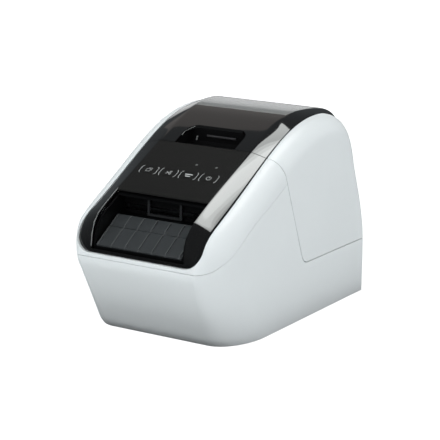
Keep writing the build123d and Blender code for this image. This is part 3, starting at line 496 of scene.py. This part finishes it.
def weld(ob, dist):
    bm = bmesh.new()
    bm.from_mesh(ob.data)
    bmesh.ops.remove_doubles(bm, verts=bm.verts, dist=dist)
    bmesh.ops.recalc_face_normals(bm, faces=bm.faces)
    bm.to_mesh(ob.data)
    bm.free()


CUT, AND, ADD = "DIFFERENCE", "INTERSECT", "UNION"
SEAM_GAP, LINE_GAP, SEAM_Z, LIP_Z = 0.5, 0.3, 40.6, 58.9


def seam_b(z, shift=0.0):
    return -7.9 - 0.43 * (z - 87.7) + shift


def bezier(p, k):
    out = []
    for i in range(k + 1):
        t = i / k
        c = [math.comb(len(p) - 1, j) * t ** j * (1 - t) ** (len(p) - 1 - j) for j in range(len(p))]
        out.append((sum(a * q[0] for a, q in zip(c, p)), sum(a * q[1] for a, q in zip(c, p))))
    return out


def cover_region(shift, top=170.0):
    zb, r = SEAM_Z + shift, 5.0
    p1, c = (seam_b(zb + r * 1.5, shift), zb + r * 1.5), (seam_b(zb, shift), zb)
    p2 = (c[0] + r * 1.2, zb)
    return [(seam_b(top, shift), top)] + bezier([p1, c, p2], 14) + [(130, zb), (130, top)]


SEAM_A = [(-130.0, 56.2), (-118.0, 56.2), (-108.0, 56.2), (-101.0, 56.4), (-95.5, 57.6), (-90.0, 60.3), (-83.0, 64.9),
          (-73.0, 70.8), (-60.0, 78.6), (-46.0, 85.8), (-31.0, 92.4), (-20.0, 98.0), (-8.0, 104.5)]


def above_a(shift):
    k = np.array(SEAM_A) + (0, shift)
    h = travel(k)
    c = cubic(h, k, np.linspace(0, h[-1], 160))
    return [tuple(q) for q in c] + [(c[-1][0], 170.0), (c[0][0], 170.0)]


def rounded_window(half, z_low, r, z_high=160.0, k=14):
    pts = []
    for cx, cz, a0 in ((-half + r, z_low + r, 180), (half - r, z_low + r, 270)):
        pts += [(cx + r * math.cos(math.radians(a0 + 90 * i / k)), cz + r * math.sin(math.radians(a0 + 90 * i / k))) for i in range(k + 1)]
    return pts + [(half, z_high), (-half, z_high)]


# stations of the inlay band: crease point and rim point (y, z)
STATIONS = [((-104.3, 57.6), (-103.2, 57.6)), ((-104.2, 63.5), (-102.4, 63.3)), ((-103.3, 71.5), (-100.2, 69.6)),
            ((-100.8, 78.8), (-96.7, 75.6)), ((-96.4, 84.0), (-91.9, 80.2)), ((-90.0, 88.1), (-87.0, 83.0)),
            ((-82.0, 92.4), (-82.0, 85.4)), ((-73.6, 96.7), (-73.6, 89.7)), ((-64.0, 101.4), (-64.0, 94.7)),
            ((-52.0, 107.25), (-52.0, 101.2)), ((-40.0, 113.1), (-40.0, 107.9)), ((-28.0, 118.97), (-28.0, 114.6)),
            ((-16.0, 124.8), (-16.0, 121.0)), ((-4.0, 130.2), (-4.0, 126.8)), ((8.0, 135.0), (8.0, 131.6)),
            ((18.0, 138.5), (18.0, 134.7)), ((28.0, 140.8), (28.0, 136.9)), ((38.0, 141.85), (38.0, 138.2)),
            ((48.0, 142.0), (48.0, 138.75)), ((58.0, 141.7), (58.0, 138.3)), ((66.0, 140.7), (66.0, 136.5)),
            ((73.5, 138.2), (73.5, 133.3)), ((80.5, 133.4), (80.5, 127.8)), ((86.0, 126.4), (86.0, 120.8)),
            ((90.3, 116.4), (90.1, 112.6)), ((92.8, 106.0), (92.3, 106.0))]
HORN = [(10.0, 35.8), (25.0, 36.6), (31.0, 37.8), (44.0, 39.4), (55.0, 41.2), (66.0, 43.8), (77.0, 46.2), (84.0, 47.3), (95.0, 47.5)]


def crease_x(y):
    return np.interp(y, [k[0] for k in HORN], [k[1] for k in HORN])


def inlay_band(t_in, half=RIM_X - LINE_GAP, n=300, t0=0.0):
    """Outer skin of the inlay, t_in thick, with a softly rounded crease and a slightly crowned bevel."""
    k = np.array([(*c, *r) for c, r in STATIONS])
    h = travel(k[:, :2])
    v = cubic(h, k, np.linspace(0, h[-1], n))
    t = np.gradient(v[:, :2], axis=0)
    t /= np.linalg.norm(t, axis=1)[:, None]
    nin = np.stack([t[:, 1], -t[:, 0]], 1)
    top, low = [], []
    e = 1.5
    for (cy, cz, ry, rz), (ny, nz) in zip(v, nin):
        cx = float(crease_x(cy))
        w = half - cx
        e1 = min(e, w * 0.45)
        bulge = 0.22
        edge_w, edge_drop = 1.0, 0.62
        xs = [0.0, cx * 0.5, cx - 5.0, cx - e1] + [cx - e1 + 2 * e1 * i / 8 for i in range(1, 9)] + [cx + e1 + (w - e1 - edge_w) * i / 8 for i in range(1, 9)] + [half - edge_w + edge_w * i / 5 for i in range(1, 6)]
        row = []
        for x in xs:
            if x <= cx - e1:
                g = 0.0
            elif x <= cx + e1:
                g = (x - cx + e1) ** 2 / (4 * e1 * w) * (1 - bulge)
            else:
                u = (x - cx) / w
                u1 = e1 / w
                q = (u - u1) / (1 - u1)
                g = u1 * (1 - bulge) + (1 - bulge) * (u - u1) + (1 - u1 * (1 - bulge) - (1 - bulge) * (1 - u1)) * q * q
            k1 = max(0.0, (x - half + edge_w) / edge_w)
            k1 = edge_drop * (1 - math.sqrt(max(0.0, 1 - k1 * k1)))
            row.append((x, cy + (ry - cy) * g + ny * k1, cz + (rz - cz) * g + nz * k1))
        full = [(-a, b, c) for a, b, c in row[:0:-1]] + row
        top.append([(a, b + ny * t0, c + nz * t0) for a, b, c in full])
        low.append([(a, b + ny * t_in, c + nz * t_in) for a, b, c in full])
    top, low = np.array(top), np.array(low)
    n, m = top.shape[:2]
    co = np.concatenate([top.reshape(-1, 3), low.reshape(-1, 3)])
    T = lambda i, j: i * m + j
    B = lambda i, j: n * m + i * m + j
    faces = []
    for i in range(n - 1):
        for j in range(m - 1):
            faces.append((T(i, j), T(i, j + 1), T(i + 1, j + 1), T(i + 1, j)))
            faces.append((B(i, j + 1), B(i, j), B(i + 1, j), B(i + 1, j + 1)))
        faces.append((T(i, 0), T(i + 1, 0), B(i + 1, 0), B(i, 0)))
        faces.append((T(i + 1, m - 1), T(i, m - 1), B(i, m - 1), B(i + 1, m - 1)))
    for i in (0, n - 1):
        for j in range(m - 1):
            faces.append((T(i, j), T(i, j + 1), B(i, j + 1), B(i, j)))
    return mesh_object("band", co, faces)


def finish_mesh(ob, angle=32.0):
    me = ob.data
    bm = bmesh.new()
    bm.from_mesh(me)
    bmesh.ops.remove_doubles(bm, verts=bm.verts, dist=2e-6)
    bmesh.ops.dissolve_degenerate(bm, edges=bm.edges, dist=1e-6)
    bm.to_mesh(me)
    bm.free()
    me.shade_smooth()
    me.set_sharp_from_angle(angle=math.radians(angle))


def on_panel(x, y, lift=0.0):
    """Point above the sloping panel, lifted along the panel's outward direction."""
    a = math.atan(0.4885)
    z = 96.7 + (y + 73.6) * 0.4885
    return np.array([x, y - math.sin(a) * lift, z + math.cos(a) * lift])


def panel_prism(pts, lift0, lift1, name="cut"):
    """Prism standing on the panel. pts are (x, u), u measured up the slope from the panel point given by y."""
    n = len(pts)
    co = [on_panel(x, y, lift0) for x, y in pts] + [on_panel(x, y, lift1) for x, y in pts]
    faces = [list(range(n)), list(range(2 * n - 1, n - 1, -1))] + [(i, (i + 1) % n, n + (i + 1) % n, n + i) for i in range(n)]
    return mesh_object(name, co, faces)


COS_P = math.cos(math.atan(0.4885))


def rounded_rect(cx, cy, w, h, r, k=6):
    """Rounded rectangle on the panel: w across, h up the slope; returned as (x, y) with y in the row frame."""
    pts = []
    for sx, sy, a0 in ((1, 1, 0), (-1, 1, 90), (-1, -1, 180), (1, -1, 270)):
        for i in range(k + 1):
            a = math.radians(a0 + 90 * i / k)
            pts.append((cx + sx * (w / 2 - r) + r * math.cos(a), cy + (sy * (h / 2 - r) + r * math.sin(a)) * COS_P))
    return pts


def build_casing():
    out = {}
    G = corner_grid()
    N = grid_normals(G)
    outer = mesh_object("outer", *closed_case(G))
    inner = mesh_object("inner", *closed_case(G - N * WALL, -6.0))
    shell = boolean(outer, (CUT, inner), name="shell")
    cover_out, cover_in = prism(0, cover_region(-SEAM_GAP / 2), -90, 90), prism(0, cover_region(SEAM_GAP / 2), -90, 90)
    a_in, a_out = prism(0, above_a(LINE_GAP / 2), -90, 90), prism(0, above_a(-LINE_GAP / 2), -90, 90)
    rear_lim = [(-130, 50), (60, 50), (78, 96), (84, 112.5), (130, 112.5), (130, 160), (-130, 160)]
    window = boolean(prism(1, rounded_window(RIM_X, LIP_Z, 12.0), -130, 130), (AND, prism(0, rear_lim, -60, 60)), name="window")
    hinge_y, hinge_z, hinge_r = 104.15, 40.6, 2.3
    gaps = [(CUT, rod((a, hinge_y, hinge_z), 0, b - a, hinge_r + 0.5)) for a, b in ((-50.4, -27.8), (27.8, 50.4))]
    base = boolean(copy_of(shell), (CUT, cover_out), (CUT, a_out),
                   (CUT, block(-46, -28, 95, 112, 10.0, 21.0)), (CUT, block(30.2, 42.6, 95, 112, 9.2, 20.8)), *gaps, name="base_skin")
    front = boolean(copy_of(shell), (AND, a_in), (CUT, cover_out), (CUT, window), name="front_skin")
    gaps = [(CUT, rod((a, hinge_y, hinge_z), 0, b - a, hinge_r + 0.5)) for a, b in ((-50.4, -27.8), (27.8, 50.4))]
    cover = boolean(copy_of(shell), (AND, cover_in), (CUT, window), (CUT, block(-70, 70, hinge_y - 0.35, 112, 30, hinge_z + 3.4)), *gaps, name="cover_skin")
    knuckles = []
    for spans, parts, hole, y0, y1, z0, z1 in (
            (((-44, -34), (34, 44)), "cover", 1.05, hinge_y - 3.6, hinge_y - 0.4, hinge_z + 1.4, hinge_z + 6.0),
            (((-49.6, -44.4), (-33.6, -28.4), (28.4, 33.6), (44.4, 49.6)), "base", 1.0, hinge_y - 2.2, hinge_y + 0.6, hinge_z - 5.0, hinge_z - 1.4)):
        for a, b in spans:
            k = boolean(rod((a, hinge_y, hinge_z), 0, b - a, hinge_r), (ADD, block(a, b, y0, y1, z0, z1)),
                        (CUT, rod((a - 1, hinge_y, hinge_z), 0, b - a + 2, hole)))
            if parts == "cover":
                cover = boolean(cover, (ADD, k), name="cover_skin")
            else:
                base = boolean(base, (ADD, k), name="base_skin")
    out.update(base_skin=base, front_skin=front, cover_skin=cover)
    # thin dark lips down in the parting lines, painted shade in the gaps
    thin = boolean(mesh_object("thin_out", *closed_case(G - N * 0.75, 0.8)), (CUT, mesh_object("thin_in", *closed_case(G - N * 1.7, -6.0))), name="thin")
    tight = SEAM_GAP / 2 - 0.05
    seal = boolean(copy_of(thin), (AND, prism(0, cover_region(-tight), -90, 90)), (CUT, prism(0, cover_region(tight), -90, 90)), (CUT, window),
                   (CUT, block(-70, 70, hinge_y - 6.0, 112, 30, hinge_z + 6.4)), name="seam_seal")
    tight = LINE_GAP / 2 + 0.01
    line = boolean(copy_of(thin), (AND, prism(0, above_a(-tight), -90, 90)), (CUT, prism(0, above_a(tight), -90, 90)), (CUT, cover_out), (CUT, window), name="front_seal")
    plate = copy_of(nodes["bottom_plate"])
    plate.data.transform(nodes["bottom_plate"].matrix_world)
    weld(plate, 2e-6)
    plate = boolean(plate, (AND, mesh_object("trim", *closed_case(G - N * (WALL + 0.12), -6.0))), name="plate_skin")
    # dark liner under the cover, following the shell
    liner = boolean(mesh_object("liner_out", *closed_case(G - N * (WALL + 0.1), 0.5)), (CUT, mesh_object("liner_in", *closed_case(G - N * (WALL + 1.3), -6.0))), name="liner")
    zone = prism(0, [(seam_b(60) + 9, 60), (95, 60), (95, 118), (60, 118), (seam_b(118) + 9, 118)], -90, 90)
    liner = boolean(liner, (AND, zone), name="liner_skin")
    out.update(seam_seal=seal, front_seal=line, plate_skin=plate, liner_skin=liner)
    # inlay
    win_in = prism(1, rounded_window(RIM_X - LINE_GAP, LIP_Z + LINE_GAP, 11.7), -130, 130)
    lim = [(-130, 55), (60, 55), (78, 90), (80, 112.8), (130, 112.8), (130, 160), (-130, 160)]
    band = boolean(inlay_band(2.0), (AND, win_in), (AND, prism(0, lim, -60, 60)), name="band")
    tight = SEAM_GAP / 2 - 0.05
    # dark lip in the inlay's cover seam: painted shade in the gap
    bseal = boolean(inlay_band(1.8, t0=0.8), (AND, win_in), (AND, prism(0, cover_region(-tight), -90, 90)), (CUT, prism(0, cover_region(tight), -90, 90)),
                    (AND, block(-60, 60, -60, 40, 60, 160)), (CUT, block(-24.5, 24.5, -60, 40, 60, 160)), name="band_seal")
    out.update(band_seal=bseal)
    fband = boolean(copy_of(band), (CUT, cover_out), name="fband")
    cband = boolean(copy_of(band), (AND, cover_in), name="cband")
    C = 35.8
    zone = prism(0, [(-77.6, 86.0), (-73.9, 97.2), (-73.9, 150), (20, 150), (20, 86)], -C + 0.1, C - 0.1)
    steps = [(AND, zone)]
    for bx in BUTTON_X:
        steps.append((CUT, panel_prism(rounded_rect(bx, -52.6, 12.4, 7.2, 1.9), -8, 4)))
    for lx, ly in LED_POS:
        steps.append((CUT, panel_prism([(lx + 1.05 * math.cos(a), ly + 1.05 * math.sin(a) * COS_P) for a in np.linspace(0, 2 * math.pi, 25)[:-1]], -6, 4)))
    # thin lip along the panel's front edge
    steps.append((CUT, panel_prism([(-C, -80), (C, -80), (C, -70.4), (-C, -70.4)], -6, -0.75)))
    panel = boolean(copy_of(fband), *steps, name="panel_skin")
    recess = prism(0, [(-130, 61.6), (-60, 61.6), (-60, 97.5), (-73.2, 97.5), (-73.2, 150), (-130, 150)], -C - 0.1, C + 0.1)
    keep = prism(0, [(-73.2, 80), (-73.2, 150), (20, 150), (20, 80)], -C - 0.1, C + 0.1)
    bezel = boolean(copy_of(fband), (CUT, keep), (CUT, recess), name="bezel_skin")
    horn = [(y, x) for y, x in HORN[1:8]]
    black = [(60, -60), (60, 84.0)] + [(x, y) for y, x in horn[::-1]] + [(-x, y) for y, x in horn] + [(-60, 84.0), (-60, -60)]
    black = prism(2, black, 60, 170)
    cup = prism(2, [(-23.8, -30), (23.8, -30), (23.8, -9.0), (22.6, -5.4), (19.4, -2.3), (17.0, -1.6), (-17.0, -1.6), (-19.4, -2.3), (-22.6, -5.4), (-23.8, -9.0)], 100, 160)
    top = boolean(copy_of(cband), (AND, black), (CUT, cup), name="top_skin")
    crown = boolean(copy_of(cband), (CUT, black), name="crown_skin")
    out.update(panel_skin=panel, bezel_skin=bezel, top_skin=top, crown_skin=crown)
    keep_names = {o.name for o in out.values()} | CAD_NAMES
    for o in list(scene.objects):
        if o.name not in keep_names:
            bpy.data.objects.remove(o)
    for k, o in out.items():
        finish_mesh(o)
        o.name = k
    return out


# ---------------------------------------------------------------- casing pieces
SKINS = {"base_skin": "base_shell", "front_skin": "front_cover", "cover_skin": "cover_shell", "panel_skin": "control_panel",
         "bezel_skin": "front_bezel", "top_skin": "cover_top_panel", "crown_skin": "cover_crown", "plate_skin": "bottom_plate", "liner_skin": "cover_liner"}
body_of = {s["node"]: s.get("body") for s in frame["record"]["subparts"]}
for body, members in frame["record"]["behaviour"]["bodies"].items():
    for node in members:
        body_of[node] = body
casing = build_casing()
for name, node in SKINS.items():
    ob = casing[name]
    ob.data.materials.clear()
    ob.data.materials.append(M[slot_of[node]])
    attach(ob, body_of[node])
    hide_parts(node)

# the gap lips take the dark grey: painted shade
for name in ("seam_seal", "front_seal", "band_seal"):
    ob = casing[name]
    ob.data.materials.clear()
    ob.data.materials.append(V["seal"])
    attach(ob, "case")

# ---- printed marks on the keys: brackets and generic symbols, a few hundredths proud
def ribbon(pts, width, y0, lift, thick=0.05, closed=False):
    """Flat printed line on the panel through pts (x, u), u up the slope from the panel row y0; mm."""
    p = np.array(pts, float)
    n = len(p)
    if closed:
        d = np.roll(p, -1, 0) - np.roll(p, 1, 0)
    else:
        d = np.gradient(p, axis=0)
    d /= np.linalg.norm(d, axis=1)[:, None]
    o = np.stack([-d[:, 1], d[:, 0]], 1) * width / 2
    rows = []
    for q in (p + o, p - o):
        for h in (lift - thick, lift + 0.03):
            rows.append([on_panel(x, y0 + u * COS_P, h) for x, u in q])
    a0, a1, b0, b1 = rows
    co = a0 + a1 + b0 + b1
    faces = []
    for i in range(n if closed else n - 1):
        j = (i + 1) % n
        faces += [(n + i, n + j, 3 * n + j, 3 * n + i), (i, j, n + j, n + i), (2 * n + j, 2 * n + i, 3 * n + i, 3 * n + j), (j, i, 2 * n + i, 2 * n + j)]
    if not closed:
        faces += [(0, n, 3 * n, 2 * n), (n - 1, 2 * n - 1, 4 * n - 1, 3 * n - 1)]
    return co, faces


def arc(cx, cy, r, a0, a1, k=14, ry=None):
    return [(cx + r * math.cos(math.radians(a0 + (a1 - a0) * i / k)), cy + (ry or r) * math.sin(math.radians(a0 + (a1 - a0) * i / k))) for i in range(k + 1)]


def bracket(side, half=6.5, h=4.2, r=2.1):
    """One rounded bracket beside a key."""
    c = arc(half - r, h - r, r, 62, 0, 6) + arc(half - r, -h + r, r, 0, -62, 6)
    return [(side * x, y) for x, y in c]


SYMBOLS = {
    "feed": [(arc(-0.55, -0.35, 0.5, 180, 270, 4)[:1] + [(-1.55, 0.9), (-1.55, -1.15), (0.75, -1.15), (0.75, 0.9), (-1.55, 0.9)], False, 0.24),
             ([(-0.75, 1.55), (1.5, 1.55), (1.5, -0.45)], False, 0.24)],
    "cut": [([(-1.5, 1.0), (0.55, -0.45)], False, 0.26), ([(-1.5, -1.0), (0.55, 0.45)], False, 0.26),
            (arc(1.15, 0.85, 0.55, 0, 330, 10), False, 0.22), (arc(1.15, -0.85, 0.55, 0, 330, 10), False, 0.22)],
    "mode": [([(-2.3, 0.75), (2.3, 0.75)], False, 0.75), ([(-1.5, -0.75), (1.5, -0.75)], False, 0.75)],
    "power": [(arc(0, 0, 1.35, 118, 422, 20), False, 0.26), ([(0, 0.35), (0, 1.75)], False, 0.26)],
}
SYMBOLS["feed"][0] = ([(-1.55, 0.9), (-1.55, -1.15), (0.75, -1.15), (0.75, 0.9), (-1.7, 0.9)], False, 0.24)


def panel_lift(node, x, y, reach=2.5):
    """Height of a node's top above the panel plane, over all its vertices; x and y are not used; mm."""
    o = nodes[node]
    a = math.atan(0.4885)
    best = -9.0
    for v in o.data.vertices:
        w = (o.matrix_world @ v.co) / MM
        best = max(best, (w.z - 96.7 - (w.y + 73.6) * 0.4885) * math.cos(a))
    return best


for key, bx in zip(("feed", "cut", "mode", "power"), BUTTON_X):
    lift = panel_lift(key + "_button", bx, -52.6)
    for name, body, top, lines in ((key + "_symbol", body_of[key + "_button"], lift, [([(x * 1.3, u * 1.3) for x, u in q], c, w * 1.15) for q, c, w in SYMBOLS[key]]),
                                   (key + "_brackets", "case", 0.0, [(bracket(1), False, 0.30), (bracket(-1), False, 0.30)])):
        co, faces = [], []
        for pts, closed, w in lines:
            c, f = ribbon([(bx + x, u) for x, u in pts], w, -52.6, top, closed=closed)
            faces += [tuple(i + len(co) for i in q) for q in f]
            co += c
        ob = mesh_object(name, co, faces)
        ob.data.materials.append(V["mark"])
        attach(ob, body)


# ---- grip rail, and pale grey beads that paint highlight lines along dark edges and at the rail's end
def tube(name, pts, r, body, material, sides=8, step=0.8):
    """Round bar through pts (mm), with smoothed bends."""
    k = np.array(pts, float)
    h = travel(k)
    n = max(8, int(h[-1] / step))
    t = np.linspace(0, h[-1], n)
    c = gauss(np.stack([np.interp(t, h, k[:, i]) for i in range(3)], 1), t[1], step)
    d = np.gradient(c, axis=0)
    d /= np.linalg.norm(d, axis=1)[:, None]
    ref = np.array([1.0, 0.03, 0.05]) if abs(d[:, 0]).mean() < 0.8 else np.array([0.03, 0.05, 1.0])
    u = np.cross(d, ref)
    u /= np.linalg.norm(u, axis=1)[:, None]
    v = np.cross(d, u)
    co, faces = [], []
    for i in range(n):
        for a in range(sides):
            q = 2 * math.pi * a / sides
            co.append(c[i] + r * (math.cos(q) * u[i] + math.sin(q) * v[i]))
    for i in range(n - 1):
        for a in range(sides):
            b = (a + 1) % sides
            faces.append((i * sides + a, i * sides + b, (i + 1) * sides + b, (i + 1) * sides + a))
    faces += [list(range(sides - 1, -1, -1)), [(n - 1) * sides + a for a in range(sides)]]
    ob = mesh_object(name, co, faces)
    finish_mesh(ob, 60)
    ob.data.materials.append(material)
    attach(ob, body)
    return ob


# the beads below use the pale grey: painted highlight lines along the outlet edge, the recess edge and the grip stop
edge = [(-35.85, c[0] + 0.15, c[1] - 0.25) for c, r in STATIONS if c[0] < -72 and c[1] > 61]
tube("outlet_edge_highlight", edge, 0.32, "case", V["line"])
tube("recess_edge_highlight", [(-23.7, -13.5, 125.25), (-23.7, -9.2, 127.3), (-19.6, -2.9, 130.2)], 0.18, "roll_cover", V["line"])
tube("grip_rail", [(-10.0, -2.1, 124.5), (1.0, -2.1, 124.5), (13.2, -2.1, 124.5)], 0.75, "roll_cover", V["rail"])
tube("grip_stop", [(-17.8, -2.1, 123.6), (-18.2, -2.1, 122.1), (-18.6, -2.1, 120.6)], 0.6, "roll_cover", V["line"])


# ---------------------------------------------------------------- camera
def camera():
    az, el = math.radians(30.52), math.radians(13.51)
    dist, focal, tx, tz, roll = 1.10022, 1571.0, 0.00055, 0.0654, math.radians(1.32)
    back = Vector((math.sin(az) * math.cos(el), -math.cos(az) * math.cos(el), math.sin(el)))
    right = Vector((math.cos(az), math.sin(az), 0))
    up = back.cross(right)
    r2 = right * math.cos(roll) + up * math.sin(roll)
    u2 = -right * math.sin(roll) + up * math.cos(roll)
    cam = bpy.data.cameras.new("photo_camera")
    cam.sensor_width = 36.0
    cam.lens = focal * 36.0 / 440.0
    cam.clip_start, cam.clip_end = 0.05, 60.0
    ob = bpy.data.objects.new("photo_camera", cam)
    m = Matrix.Identity(4)
    for i, v in enumerate((r2, u2, back)):
        m.col[i][:3] = v
    m.translation = Vector((tx, 0, tz)) + back * dist
    ob.matrix_world = m
    scene.collection.objects.link(ob)
    scene.camera = ob


camera()


# ---------------------------------------------------------------- studio
def softbox(name, direction, distance, w, h, radiance, target=(0, 0, 0.06), colour=(1, 1, 1), spin=0.0, level=False, sheen=True, shape="RECTANGLE"):
    """Soft light of a given radiance, facing the target, or straight down when level."""
    d = Vector(direction).normalized()
    li = bpy.data.lights.new(name, "AREA")
    li.shape = shape
    li.size, li.size_y = w, h
    li.energy = radiance * math.pi * w * h * (1.0 if shape == "RECTANGLE" else math.pi / 4)
    li.color = colour
    ob = bpy.data.objects.new(name, li)
    q = Vector((0, 0, 1)).to_track_quat("Z", "Y") if level else d.to_track_quat("Z", "Y")
    ob.matrix_world = Matrix.Translation(Vector(target) + d * distance) @ q.to_matrix().to_4x4() @ Matrix.Rotation(spin, 4, "Z")
    scene.collection.objects.link(ob)
    ob.visible_glossy = sheen
    return ob


world = bpy.data.worlds.new("studio")
scene.world = world
world.use_nodes = True
wt = world.node_tree
sky = wt.nodes.new("ShaderNodeTexCoord")
split = wt.nodes.new("ShaderNodeSeparateXYZ")
grade = wt.nodes.new("ShaderNodeValToRGB")
wt.links.new(sky.outputs["Generated"], split.inputs[0])
lift = wt.nodes.new("ShaderNodeMapRange")
lift.inputs["From Min"].default_value = -1.0
wt.links.new(split.outputs["Z"], lift.inputs["Value"])
wt.links.new(lift.outputs[0], grade.inputs[0])
grade.color_ramp.elements[0].position, grade.color_ramp.elements[0].color = 0.30, (0.035, 0.04, 0.045, 1)
grade.color_ramp.elements[1].position, grade.color_ramp.elements[1].color = 0.52, (0.105, 0.115, 0.122, 1)
wt.links.new(grade.outputs[0], wt.nodes["Background"].inputs[0])
wt.nodes["Background"].inputs[1].default_value = 1.0

# the box overhead is 1.45 m up, from -0.20 to 0.45 across and 0.06 to 0.62 back, as seen in units of its height
softbox("overhead", (0.125, 0.33, 1.0), 1.45 * math.sqrt(1 + 0.125 ** 2 + 0.33 ** 2), 1.45 * 0.66, 1.45 * 0.56, 3.3, level=True, colour=(0.97, 1.0, 0.985))
for i, size in enumerate((0.52, 0.40, 0.28)):
    h = 1.44 - 0.01 * i
    softbox("overhead_core_%d" % i, (0.09, 0.235, 1.0), h * math.sqrt(1 + 0.09 ** 2 + 0.235 ** 2), h * size * 1.0, h * size * 0.75, 1.25, level=True, colour=(0.97, 1.0, 0.985), shape="ELLIPSE")
softbox("right_side", (0.97, -0.30, 0.36), 1.9, 2.0, 1.4, 2.35, colour=(0.955, 0.985, 1.0), sheen=False)
softbox("front_left", (-0.30, -0.84, 0.44), 1.9, 2.4, 1.3, 2.6, colour=(0.955, 0.99, 1.0), sheen=False)
softbox("left_fill", (-0.94, 0.10, 0.32), 2.0, 1.8, 1.2, 1.7, colour=(0.965, 0.99, 1.0), sheen=False)
softbox("rear_fill", (0.15, 0.94, 0.30), 2.0, 1.8, 1.2, 1.5, colour=(0.965, 0.99, 1.0), sheen=False)
softbox("behind", (-0.50, 0.86, 0.22), 2.2, 1.3, 0.7, 0.72)
softbox("high_left", (-0.50, 0.62, 0.62), 2.2, 1.0, 0.8, 0.16, colour=(1.0, 0.86, 0.78))

bpy.ops.mesh.primitive_grid_add(x_subdivisions=8, y_subdivisions=8, size=14.0)
floor = bpy.context.object
floor.name = "floor"
t = Tree("floor_paper")
t.link(t.ramp(t.noise(3.0, 2.0, 0.5), [(0.3, (0.90, 0.90, 0.90)), (0.7, (0.92, 0.92, 0.92))]), t.bsdf.inputs["Base Color"])
t.set(Roughness=0.9, Emission_Color=(1, 1, 1, 1), Emission_Strength=1.0)
floor.data.materials.append(t.mat)
floor.visible_diffuse = False
floor.visible_glossy = False

ring = [(6800 * math.cos(math.radians(a)), 6800 * math.sin(math.radians(a))) for a in range(0, 360, 5)]
backdrop = mesh_object("backdrop", [(x, y, z) for z in (-5, 9000) for x, y in ring],
                       [(i, (i + 1) % 72, 72 + (i + 1) % 72, 72 + i) for i in range(72)])
t = Tree("backdrop_paper")
t.link(t.ramp(t.noise(2.0, 2.0, 0.5), [(0.3, (0.90, 0.90, 0.90)), (0.7, (0.92, 0.92, 0.92))]), t.bsdf.inputs["Base Color"])
t.set(Roughness=0.9, Emission_Color=(1, 1, 1, 1), Emission_Strength=1.0)
backdrop.data.materials.append(t.mat)
backdrop.visible_diffuse = False
backdrop.visible_glossy = False
backdrop.visible_shadow = False

bpy.ops.mesh.primitive_grid_add(x_subdivisions=4, y_subdivisions=4, size=6.0, location=(0, 0, 0.0003))
card = bpy.context.object
card.name = "bounce_card"
t = Tree("grey_card")
t.link(t.ramp(t.noise(5.0, 2.0, 0.5), [(0.3, (0.74, 0.75, 0.75)), (0.7, (0.76, 0.77, 0.77))]), t.bsdf.inputs["Base Color"])
t.set(Roughness=0.9)
card.data.materials.append(t.mat)
card.visible_camera = False
card.visible_glossy = False
card.visible_shadow = False

# painted shadow: a dark slab under the printer, unseen by the camera, stands in for the floor's contact shadow and
# darkens the lower front
mat = mesh_object("contact_shadow_mat", [(-78, -118, 0.7), (78, -118, 0.7), (78, 120, 0.7), (-78, 120, 0.7), (-78, -118, 0.5), (78, -118, 0.5), (78, 120, 0.5), (-78, 120, 0.5)],
                  [(0, 1, 2, 3), (7, 6, 5, 4), (0, 4, 5, 1), (1, 5, 6, 2), (2, 6, 7, 3), (3, 7, 4, 0)])
t = Tree("contact_shadow_mat")
t.link(t.ramp(t.noise(60.0, 2.0, 0.5), [(0.3, (0.05, 0.05, 0.05)), (0.7, (0.06, 0.06, 0.06))]), t.bsdf.inputs["Base Color"])
t.set(Roughness=0.9)
mat.data.materials.append(t.mat)
mat.visible_camera = False
mat.visible_glossy = False
mat.visible_shadow = False
